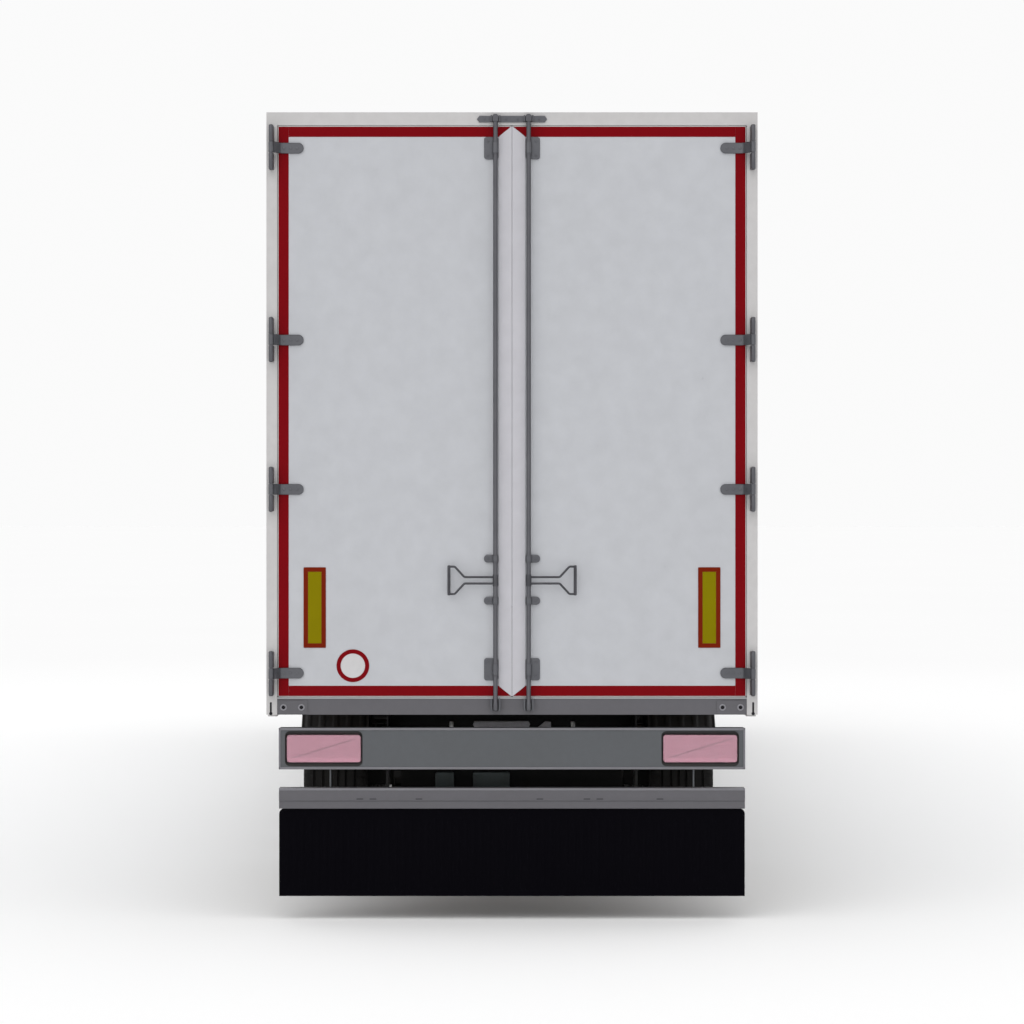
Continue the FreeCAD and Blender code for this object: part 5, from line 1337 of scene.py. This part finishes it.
def make_groups():
    """The four shader groups that the finishes share."""
    surface = {"Color": "Color", "Roughness": "Float", "Normal": "Vector"}
    make_group("weathered surface", {
        "Base": ("Color", (0.5, 0.5, 0.5, 1)), "Grime": ("Color", (0.2, 0.18, 0.16, 1)),
        "Amount": ("Float", 0.2), "Patch Scale": ("Float", 3.0), "Roughness": ("Float", 0.4),
        "Grain Scale": ("Float", 200.0), "Grain Height": ("Float", 0.05)}, surface, weathered)
    make_group("road dust", {
        "Color": ("Color", (0.5, 0.5, 0.5, 1)), "Dust": ("Color", (0.23, 0.21, 0.19, 1)),
        "Amount": ("Float", 0.4), "Height": ("Float", 1.2)},
        {"Color": "Color", "Mask": "Float"}, dusty)
    make_group("brushed metal", {
        "Stretch": ("Vector", (40.0, 40.0, 600.0)), "Base": ("Color", (0.5, 0.5, 0.5, 1)),
        "Roughness": ("Float", 0.35), "Depth": ("Float", 0.1)}, surface, scratched)
    make_group("reflective cells", {
        "Base": ("Color", (0.5, 0.02, 0.03, 1)), "Cell": ("Float", 260.0)}, surface, in_cells)


# Finishes

def linear(red, green, blue):
    """A colour written in the display's 0 to 255 values, as the shader needs it."""
    values = np.array([red, green, blue]) / 255
    low = values / 12.92
    high = ((values + 0.055) / 1.055) ** 2.4
    return (*np.where(values <= 0.04045, low, high).tolist(), 1.0)


def new_material(name, colour, roughness, **shader):
    """A material with its Principled shader: plain values go straight onto it."""
    material = bpy.data.materials.new(name)
    material.use_nodes = True
    material.diffuse_color = colour
    principled = material.node_tree.nodes["Principled BSDF"]
    for label, value in {"base_color": colour, "roughness": roughness, **shader}.items():
        label = label.replace("_", " ").title().replace("Ior", "IOR")
        principled.inputs[label].default_value = value
    return material, principled


def use_group(material, name, inputs):
    """The outputs of a shared group in the material, with its inputs."""
    group = bpy.data.node_groups[name]
    return add(material.node_tree, "Group", inputs, node_tree=group).outputs


def join(material, principled, colour, surface):
    """Links a colour and a surface's gloss and relief to the shader."""
    for label, source in (("Base Color", colour), ("Roughness", surface["Roughness"]),
                          ("Normal", surface["Normal"])):
        feed(material.node_tree, principled.inputs[label], source)


def painted(name, colour, roughness, amount, grime, patch, grain, dust=0.0, dust_height=1.3,
            **shader):
    """A coated surface: mottled paint with a little grime, and road dust low down."""
    material, principled = new_material(name, colour, roughness, **shader)
    surface = use_group(material, "weathered surface", {
        "Base": colour, "Grime": linear(*grime), "Amount": amount, "Patch Scale": patch,
        "Roughness": roughness, "Grain Scale": grain[0], "Grain Height": grain[1]})
    source = surface["Color"]
    if dust:
        source = use_group(material, "road dust", {"Amount": dust, "Height": dust_height,
                                                   "Color": source})["Color"]
    join(material, principled, source, surface)


def brushed(name, colour, roughness, stretch, depth):
    """A bare metal with fine scratches along one axis."""
    material, principled = new_material(name, colour, roughness, metallic=1.0)
    surface = use_group(material, "brushed metal", {
        "Stretch": stretch, "Base": colour, "Roughness": roughness, "Depth": depth})
    join(material, principled, surface["Color"], surface)


def reflective(name, colour):
    """Reflective sheeting with small sealed cells under a clear face."""
    material, principled = new_material(name, colour, 0.35, specular_ior_level=0.05)
    surface = use_group(material, "reflective cells", {"Base": colour})
    join(material, principled, surface["Color"], surface)


def clear_lens(name, colour, pitch):
    """A clear tinted cover with fine upright flutes moulded into it."""
    material, principled = new_material(name, colour, 0.12, ior=1.49, transmission_weight=0.75)
    tree = material.node_tree
    place = object_place(tree)
    wave = add(tree, "TexWave", {"Scale": pitch, "Distortion": 0.0, "Vector": place},
               bands_direction="X")
    brighter = tuple(min(1.0, part * 1.3) for part in colour[:3]) + (1.0,)
    share = value_math(tree, "MULTIPLY", noise(tree, place, 14.0), 0.3)
    feed(tree, principled.inputs["Base Color"], mix_colour(tree, share, colour, brighter))
    feed(tree, principled.inputs["Normal"], relief(tree, wave.outputs["Fac"], 0.001, 0.25))


def boards(name, colour):
    """A coated board floor: long boards with dark joints and a pressed grip pattern."""
    material, principled = new_material(name, colour, 0.55)
    tree = material.node_tree
    place = object_place(tree)
    lengthwise = add(tree, "Mapping", {"Rotation": (0, 0, math.radians(90)), "Vector": place})
    brick = add(tree, "TexBrick", {
        "Color1": colour, "Color2": tuple(part * 0.85 for part in colour[:3]) + (1.0,),
        "Mortar": (0.03, 0.025, 0.02, 1), "Scale": 1.0, "Mortar Size": 0.004,
        "Brick Width": 2.5, "Row Height": 0.3, "Vector": lengthwise.outputs[0]})
    stretched = add(tree, "Mapping", {"Scale": (60, 2, 60), "Vector": place}).outputs[0]
    shade = value_math(tree, "MULTIPLY_ADD", noise(tree, stretched, 1.0, 5), 0.4, 0.8)
    colour = mix_colour(tree, 1.0, brick.outputs["Color"], shade, "MULTIPLY")
    grip = add(tree, "TexVoronoi", {"Scale": 160.0, "Randomness": 0.0, "Vector": place})
    feed(tree, principled.inputs["Base Color"], colour)
    feed(tree, principled.inputs["Normal"], relief(tree, grip.outputs["Distance"], 0.0008, 0.3))


def make_finishes(colours):
    """Every finish of the trailer, under the name that the pieces ask for. The numbers
    are gloss, grime, its colour, the size of its patches, and the grain's scale and
    height."""
    make_groups()
    white_grime = (165, 160, 152)
    lip_grime = (90, 86, 82)
    panel, bare, grey = (38, 0.03), (160, 0.1), (110, 0.05)
    painted("body panel", (*colours.body, 1.0), 0.32, 0.03, white_grime, 0.8, panel,
            coat_weight=0.2)
    # The cover strip's white is lighter than the body white: painted light against the rods'
    # shade.
    painted("strip white", linear(203, 202, 208), 0.34, 0.03, white_grime, 0.8, panel)
    painted("frame white", linear(203, 201, 201), 0.38, 0.06, (160, 155, 148), 1.4, (60, 0.03))
    painted("rear grey", (*colours.rear_grey, 1.0), 0.44, 0.15, (78, 74, 74), 2.2, grey, 0.05)
    painted("bar grey", linear(85, 88, 92), 0.42, 0.15, (68, 67, 66), 2.2, grey, 0.08)
    # A lighter grey for rolled lips and end caps: a painted highlight along edges.
    painted("lip grey", linear(122, 121, 127), 0.36, 0.12, lip_grime, 3.0, grey, 0.08)
    # A lighter grey for the sill's rims: a painted highlight.
    painted("rim grey", linear(140, 139, 145), 0.36, 0.12, lip_grime, 3.0, grey, 0.08)
    # Near black for the sill's bolts and drain slot: painted shade of holes and a slot.
    painted("hole dark", linear(26, 25, 30), 0.6, 0.2, (16, 16, 18), 9.0, bare,
            specular_ior_level=0.2)
    # A dark grey for the under-run slots: painted shade.
    painted("slot dark", linear(62, 61, 66), 0.6, 0.2, (40, 40, 42), 9.0, bare)
    # The two tab finishes are painted light: much lighter, to make up for the shade of the gap
    # they sit in.
    painted("tab grey painted light", linear(226, 224, 230), 0.5, 0.15, (170, 172, 166), 9.0, bare)
    painted("tab white painted light", linear(250, 250, 249), 0.45, 0.05, (200, 196, 190), 9.0, bare)
    painted("cover grey", linear(96, 106, 106), 0.5, 0.3, (66, 70, 68), 6.0, bare)
    painted("chassis", linear(15, 16, 18), 0.55, 0.3, (36, 34, 31), 3.0, (140, 0.10), 0.12,
            specular_ior_level=0.2)
    painted("dark plastic", linear(24, 24, 26), 0.55, 0.25, (48, 44, 41), 4.0, (260, 0.16), 0.3,
            specular_ior_level=0.3)
    painted("flap rubber", linear(9, 8, 13), 0.75, 0.1, (18, 17, 20), 2.0, (300, 0.14),
            specular_ior_level=0.02)
    painted("tyre rubber", linear(16, 16, 17), 0.75, 0.25, (36, 34, 32), 5.0, (320, 0.18), 0.12,
            1.1, specular_ior_level=0.15)
    painted("bellows", linear(22, 22, 23), 0.66, 0.3, (46, 43, 41), 6.0, (280, 0.14), 0.25,
            specular_ior_level=0.3)
    # The seals' pale colour is painted light that fills the shade in the gaps round the leaves.
    painted("seal", linear(208, 205, 203), 0.6, 0.12, (160, 156, 150), 5.0, (260, 0.10))
    painted("wheel silver", linear(168, 170, 174), 0.34, 0.25, (92, 86, 80), 4.0, (120, 0.05),
            0.45, 0.95, metallic=0.55)
    painted("tank black", linear(30, 31, 34), 0.3, 0.25, (64, 60, 55), 3.0, (90, 0.04), 0.45)
    painted("landing grey", linear(96, 98, 101), 0.45, 0.3, (70, 66, 62), 3.0, (120, 0.08), 0.5)
    painted("cap red", linear(168, 30, 28), 0.4, 0.15, (80, 30, 26), 5.0, (200, 0.05))
    painted("cap yellow", linear(206, 164, 24), 0.4, 0.15, (110, 92, 40), 5.0, (200, 0.05))
    painted("bolt dark", linear(58, 58, 60), 0.45, 0.3, (40, 38, 36), 30.0, (300, 0.1),
            metallic=0.6)
    short = (26.0, 26.0, 9.0)
    brushed("galvanised", linear(92, 93, 98), 0.42, short, 0.18)
    brushed("rod steel", linear(86, 86, 91), 0.42, short, 0.18)
    # A darker copy of the rod steel for the handle: painted shade.
    brushed("handle steel painted shade", linear(64, 64, 69), 0.42, short, 0.18)
    brushed("turned steel", linear(150, 150, 152), 0.3, (30.0, 30.0, 500.0), 0.1)
    brushed("aluminium", linear(176, 178, 180), 0.34, (420.0, 3.0, 420.0), 0.08)
    brushed("reflector", linear(214, 208, 212), 0.16, (60.0, 60.0, 60.0), 0.03)
    reflective("tape red", (*colours.tape, 1.0))
    reflective("plate yellow", linear(136, 125, 2))
    reflective("plate red", linear(120, 33, 10))
    reflective("sign white", linear(214, 213, 214))
    clear_lens("lamp cover", linear(244, 200, 213), 46.0)
    clear_lens("amber cover", linear(226, 138, 34), 60.0)
    boards("floor boards", linear(124, 96, 66))


NODE_FINISHES = {
    "floor boards": ("load_floor",),
    "body panel": ("side_wall_right", "side_wall_left", "front_wall", "roof_panel",
                   "door_panel_right", "door_panel_left"),
    "frame white": ("front_posts", "roof_rails", "base_rails", "rear_frame"),
    "rear grey": ("rear_sill", "under_run_bar"),
    "bar grey": ("light_bar",),
    "galvanised": ("hinge_brackets", "door_hinges_right", "door_hinges_left",
                   "lock_gear_right", "lock_gear_left", "lock_keepers", "landing_crank",
                   "coupling_panel"),
    "lamp cover": ("rear_lamps",),
    "flap rubber": ("rear_flap",),
    "chassis": ("main_rails", "cross_members", "coupler_plate", "rear_cross_beam", "leg_brace",
                "axles", "trailing_arms", "suspension_hangers"),
    "turned steel": ("king_pin",),
    "bellows": ("air_springs",),
    "dark plastic": ("mudguards",),
    "landing grey": ("landing_legs",),
    "aluminium": ("side_guard_right", "side_guard_left"),
    "tank black": ("air_tanks",),
}


def finish_nodes():
    """Gives each carried-over node its finish: tyres and rims go by their names."""
    finish_of = {node: kind for kind, nodes in NODE_FINISHES.items() for node in nodes}
    for name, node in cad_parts.items():
        kind = finish_of.get(name, "tyre rubber" if name.startswith("tyre") else "wheel silver")
        node.data.materials.clear()
        node.data.materials.append(bpy.data.materials[kind])


# Stage

def make_floor(material):
    """One very large flat square on the ground."""
    reach = 400.0
    points = [(-reach, -reach, 0), (reach, -reach, 0), (reach, reach, 0), (-reach, reach, 0)]
    mesh = bpy.data.meshes.new("floor")
    mesh.from_pydata(points, [], [(0, 1, 2, 3)])
    mesh.materials.append(material)
    floor = bpy.data.objects.new("floor", mesh)
    bpy.context.scene.collection.objects.link(floor)


def make_world(low, rise, seen):
    """Soft light that grows with height above the horizon, and one plain pale colour
    where the camera sees the backdrop, straight or through glass or in a gloss."""
    world = bpy.data.worlds.new("studio")
    world.use_nodes = True
    tree = world.node_tree
    tree.nodes.clear()
    direction = add(tree, "TexCoord").outputs["Generated"]
    height = add(tree, "SeparateXYZ", {0: direction}).outputs["Z"]
    above = value_math(tree, "MAXIMUM", height, 0.0)
    strength = value_math(tree, "MULTIPLY_ADD", above, rise, low)
    light = add(tree, "Background", {"Color": (1.0, 1.0, 1.0, 1.0), "Strength": strength})
    backdrop = add(tree, "Background", {"Color": (seen, seen, seen, 1.0), "Strength": 1.0})
    path = add(tree, "LightPath").outputs
    plain = value_math(tree, "MAXIMUM", path["Is Camera Ray"], path["Is Glossy Ray"])
    plain = value_math(tree, "MAXIMUM", plain, path["Is Transmission Ray"])
    mix = add(tree, "MixShader", {0: plain, 1: light.outputs[0], 2: backdrop.outputs[0]})
    add(tree, "OutputWorld", {"Surface": mix.outputs[0]}).is_active_output = True
    bpy.context.scene.world = world


def studio_floor():
    """A pale matt floor, painted lighter near the trailer and a little darker far off, where
    the trailer shades none of the light: painted light and shade that even out the trailer's
    shade, so that it meets the backdrop without a line."""
    material, principled = new_material("studio floor", linear(252, 252, 252), 1.0,
                                        specular_ior_level=0.0)
    tree = material.node_tree
    place = object_place(tree)
    reach = add(tree, "VectorMath", {0: place}, operation="LENGTH").outputs["Value"]
    painted_floor_shade = add(tree, "MapRange", {"From Min": 8.0, "From Max": 22.0, "To Min": 0.955,
                                  "To Max": 0.897, "Value": reach},
               interpolation_type="SMOOTHSTEP")
    shade = value_math(tree, "MULTIPLY_ADD", noise(tree, place, 0.15, 2), 0.015,
                       painted_floor_shade.outputs["Result"])
    colour = add(tree, "CombineColor", dict.fromkeys(range(3), shade)).outputs[0]
    feed(tree, principled.inputs["Base Color"], colour)
    return material


def make_lamp(name, turn, strength, spread):
    """A sun with a wide disc, which gives soft light from one side."""
    data = bpy.data.lights.new(name, "SUN")
    data.energy = strength
    data.angle = math.radians(spread)
    lamp = bpy.data.objects.new(name, data)
    lamp.rotation_euler = [math.radians(angle) for angle in turn]
    bpy.context.scene.collection.objects.link(lamp)


def make_camera(view):
    """The camera stands behind the trailer and looks along it, level."""
    data = bpy.data.cameras.new("camera")
    data.sensor_width = 36.0
    data.lens = data.sensor_width * view.distance / view.frame_width
    data.shift_x = -view.side_step / view.frame_width
    data.clip_end = 500.0
    camera = bpy.data.objects.new("camera", data)
    camera.location = (view.side_step, REAR - view.distance, view.eye_height)
    camera.rotation_euler = (math.radians(90), 0, 0)
    bpy.context.scene.collection.objects.link(camera)
    bpy.context.scene.camera = camera


# Sizes and colours that a user would change

def colour_property(name, description, *shown):
    """A colour whose default is given in the display's 0 to 255 values."""
    return bpy.props.FloatVectorProperty(name=name, description=description, subtype="COLOR",
                                         default=linear(*shown)[:3])


def length_property(name, description, default):
    """A length in metres."""
    return bpy.props.FloatProperty(name=name, description=description, default=default,
                                   unit="LENGTH")


class TrailerColours(bpy.types.PropertyGroup):
    """The trailer's main colours"""
    body: colour_property("Body", "Colour of the walls and doors", 195, 197, 202)
    rear_grey: colour_property("Rear grey", "Colour of the sill and the under-run bar", 94, 93, 98)
    tape: colour_property("Tape", "Colour of the outline tape on the doors", 126, 7, 17)


class TrailerView(bpy.types.PropertyGroup):
    """The camera's place behind the trailer"""
    distance: length_property("Distance", "From the camera to the rear frame", 15.0)
    frame_width: length_property("Frame width", "What the picture spans at the rear frame", 5.3156)
    side_step: length_property("Side step", "The camera's place to the side", -0.13)
    eye_height: length_property("Eye height", "The camera's height", 2.118)


class TRAILER_OT_stage(bpy.types.Operator):
    """Makes the floor, the light and the camera"""
    bl_idname = "trailer.stage"
    bl_label = "Stage"

    def execute(self, context):
        scene = context.scene
        scene.view_settings.view_transform = "Standard"
        make_floor(studio_floor())
        make_world(0.1, 1.3, 0.962)
        make_lamp("key", (50, 0, -24), 0.5, 60)
        make_camera(scene.trailer_view)
        return {"FINISHED"}


class TRAILER_OT_finishes(bpy.types.Operator):
    """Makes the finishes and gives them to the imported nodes"""
    bl_idname = "trailer.finishes"
    bl_label = "Finishes"

    def execute(self, context):
        make_finishes(context.scene.trailer_colours)
        finish_nodes()
        return {"FINISHED"}


class TRAILER_OT_doors(bpy.types.Operator):
    """Tape, cover strip, marking plates, sign and seals of both doors"""
    bl_idname = "trailer.doors"
    bl_label = "Door markings"

    def execute(self, context):
        for name, side in SIDES:
            for piece, parts, slot, finishes in (
                    ("tape", tape_parts(), "box", "tape red"),
                    ("cover_strip", cover_parts(), "box", "strip white"),
                    ("marking_plate", marking_parts(), "box", ("plate red", "plate yellow")),
                    ("door_seal", seal_parts(), "flap", "seal")):
                add_piece(f"{piece}_{name}", mirrored(parts, side), finishes,
                          body=f"door_{name}")
        add_piece("round_sign", mirrored(sign_parts()), ("tape red", "sign white"),
                  body="door_left")
        return {"FINISHED"}


class TRAILER_OT_hinges(bpy.types.Operator):
    """Hinge straps on the doors and hinge lugs on the posts"""
    bl_idname = "trailer.hinges"
    bl_label = "Hinges"

    def execute(self, context):
        lugs = [part for level in HINGE_LEVELS for part in lug_parts(level)]
        add_piece("hinge_lugs", both(lugs), "rod steel", ["hinge_brackets"])
        straps = [part for level in HINGE_LEVELS for part in strap_parts(level)]
        for name, side in SIDES:
            add_piece(f"hinge_straps_{name}", mirrored(straps, side), "galvanised",
                      [f"door_hinges_{name}"], body=f"door_{name}")
        return {"FINISHED"}


class TRAILER_OT_locks(bpy.types.Operator):
    """Lock rods with guides, clips and handles, and the keepers on the frame"""
    bl_idname = "trailer.locks"
    bl_label = "Lock gear"

    def execute(self, context):
        for name, side in SIDES:
            add_piece(f"lock_rod_{name}", mirrored(lock_parts(), side),
                      ("galvanised", "rod steel", "handle steel painted shade"), [f"lock_gear_{name}"],
                      body=f"door_{name}")
        add_piece("keepers", keeper_parts(), "galvanised", ["lock_keepers"])
        return {"FINISHED"}


class TRAILER_OT_rear_bars(bpy.types.Operator):
    """Sill trim, light bar with its lamps, under-run beam and flap"""
    bl_idname = "trailer.rear_bars"
    bl_label = "Rear bars and lamps"

    def execute(self, context):
        add_piece("sill_strip", sill_parts(), "aluminium")
        rims, holes = sill_bolts()
        add_piece("sill_rims", both(rims), "rim grey")
        add_piece("sill_holes", both(holes), "hole dark")
        add_piece("light_bar_lips", light_bar_parts(), "lip grey")
        add_piece("tail_lamps", both(lamp_parts()),
                  ("dark plastic", "reflector", "lamp cover"), ["rear_lamps"])
        add_piece("under_run_beam", under_run_parts(),
                  ("rear grey", "lip grey", "chassis"), ["under_run_bar"])
        add_piece("under_run_slots", under_run_slots(), "slot dark")
        add_piece("bar_stays", both(stay_parts()), "bar grey")
        add_piece("flap_sheet", flap_parts(), "flap rubber", ["rear_flap"])
        return {"FINISHED"}


class TRAILER_OT_wheels(bpy.types.Operator):
    """Treaded tyres, nuts and hub caps on every wheel"""
    bl_idname = "trailer.wheels"
    bl_label = "Wheels"

    def execute(self, context):
        trim = wheel_trim()
        for place in (f"{axle}_{name}" for axle in AXLES for name, _ in SIDES):
            centre = sum(corners(f"tyre_{place}")) / 2
            body = f"wheel_{place}"
            add_piece(f"tread_{place}", [tyre_part(centre)], "tyre rubber",
                      [f"tyre_{place}"], body, smooth=28)
            side = math.copysign(1, centre[0])
            parts = [moved(part, centre, (side, 1, 1)) for part in trim]
            add_piece(f"hub_{place}", parts, "wheel silver", body=body)
        return {"FINISHED"}


class TRAILER_OT_body_trim(bpy.types.Operator):
    """Cover strips, rivets and side marker lamps of the box"""
    bl_idname = "trailer.body_trim"
    bl_label = "Body trim"

    def execute(self, context):
        add_piece("wall_strips", both(wall_parts()), "body panel")
        add_piece("front_strips", front_parts(), "frame white")
        add_piece("roof_strips", roof_parts(), "body panel")
        add_piece("side_rivets", both(side_rivets()), "aluminium", smooth=60)
        add_piece("front_rivets", front_rivets(), "aluminium", smooth=60)
        add_piece("side_markers", both(marker_parts()), ("dark plastic", "amber cover"))
        add_piece("base_rail_ribs", both(base_rail_ribs()), "frame white")
        return {"FINISHED"}


class TRAILER_OT_running_gear(bpy.types.Operator):
    """Clamps, nuts, bellows, brake bands and mudguards of the three axles"""
    bl_idname = "trailer.running_gear"
    bl_label = "Running gear"

    def execute(self, context):
        add_piece("axle_clamps", both(axle_fittings()), "chassis")
        add_piece("brake_bands", both(brake_fittings()), "chassis")
        add_piece("bellows_skins", both(bellows_parts()), ("bellows", "chassis"),
                  ["air_springs"])
        add_piece("pivot_nuts", both(pivot_fittings()), "bolt dark")
        add_piece("rail_stiffeners", both(rail_fittings()), "chassis")
        add_piece("mudguard_skins", both(guard_skin()), "dark plastic", ["mudguards"])
        return {"FINISHED"}


class TRAILER_OT_legs(bpy.types.Operator):
    """Bolts, collars and pins of the landing legs, and the crank's grip"""
    bl_idname = "trailer.legs"
    bl_label = "Landing legs"

    def execute(self, context):
        add_piece("leg_fittings", both(leg_fittings()), "landing grey")
        add_piece("crank_grip", crank_parts(), "dark plastic")
        return {"FINISHED"}


class TRAILER_OT_sides(bpy.types.Operator):
    """Side guard caps and bolts, air tank bands, couplings and king pin bolts"""
    bl_idname = "trailer.sides"
    bl_label = "Guards, tanks and couplings"

    def execute(self, context):
        caps, ridges = side_guard_trim()
        add_piece("guard_caps", both(caps), "dark plastic")
        add_piece("guard_ridges", both(ridges), "aluminium")
        add_piece("guard_bolts", both(side_guard_bolts()), "bolt dark")
        welds, bands = tank_fittings()
        add_piece("tank_welds", both(welds), "tank black")
        add_piece("tank_bands", both(bands), "galvanised")
        add_piece("coupling_heads", coupling_parts(),
                  ("dark plastic", "cap red", "cap yellow", "bolt dark"))
        add_piece("king_pin_bolts", coupler_fittings(), "turned steel")
        add_piece("beam_tabs", beam_fittings(),
                  ("tab grey painted light", "tab white painted light", "cover grey"))
        add_piece("kick_strips", both(kick_parts()), "aluminium")
        return {"FINISHED"}


class TRAILER_PT_panel(bpy.types.Panel):
    """Lists the trailer's steps in the sidebar"""
    bl_label = "Box semi trailer"
    bl_idname = "TRAILER_PT_panel"
    bl_space_type = "VIEW_3D"
    bl_region_type = "UI"
    bl_category = "Trailer"

    def draw(self, context):
        for name in TrailerColours.__annotations__:
            self.layout.prop(context.scene.trailer_colours, name)
        for name in TrailerView.__annotations__:
            self.layout.prop(context.scene.trailer_view, name)
        for step in STEPS:
            self.layout.operator(step.bl_idname)


STEPS = (
    TRAILER_OT_finishes, TRAILER_OT_doors, TRAILER_OT_hinges, TRAILER_OT_locks,
    TRAILER_OT_rear_bars, TRAILER_OT_wheels, TRAILER_OT_body_trim, TRAILER_OT_running_gear,
    TRAILER_OT_legs, TRAILER_OT_sides, TRAILER_OT_stage,
)
CLASSES = (TrailerColours, TrailerView, *STEPS, TRAILER_PT_panel)


def register():
    """Adds the add-on's classes and its settings."""
    for entry in CLASSES:
        bpy.utils.register_class(entry)
    bpy.types.Scene.trailer_colours = bpy.props.PointerProperty(type=TrailerColours)
    bpy.types.Scene.trailer_view = bpy.props.PointerProperty(type=TrailerView)


def unregister():
    """Takes the settings and the classes away again."""
    del bpy.types.Scene.trailer_view
    del bpy.types.Scene.trailer_colours
    for entry in reversed(CLASSES):
        bpy.utils.unregister_class(entry)


def main():
    """Runs every step in order."""
    register()
    for step in STEPS:
        group, name = step.bl_idname.split(".")
        getattr(getattr(bpy.ops, group), name)()


if __name__ == "__main__":
    main()
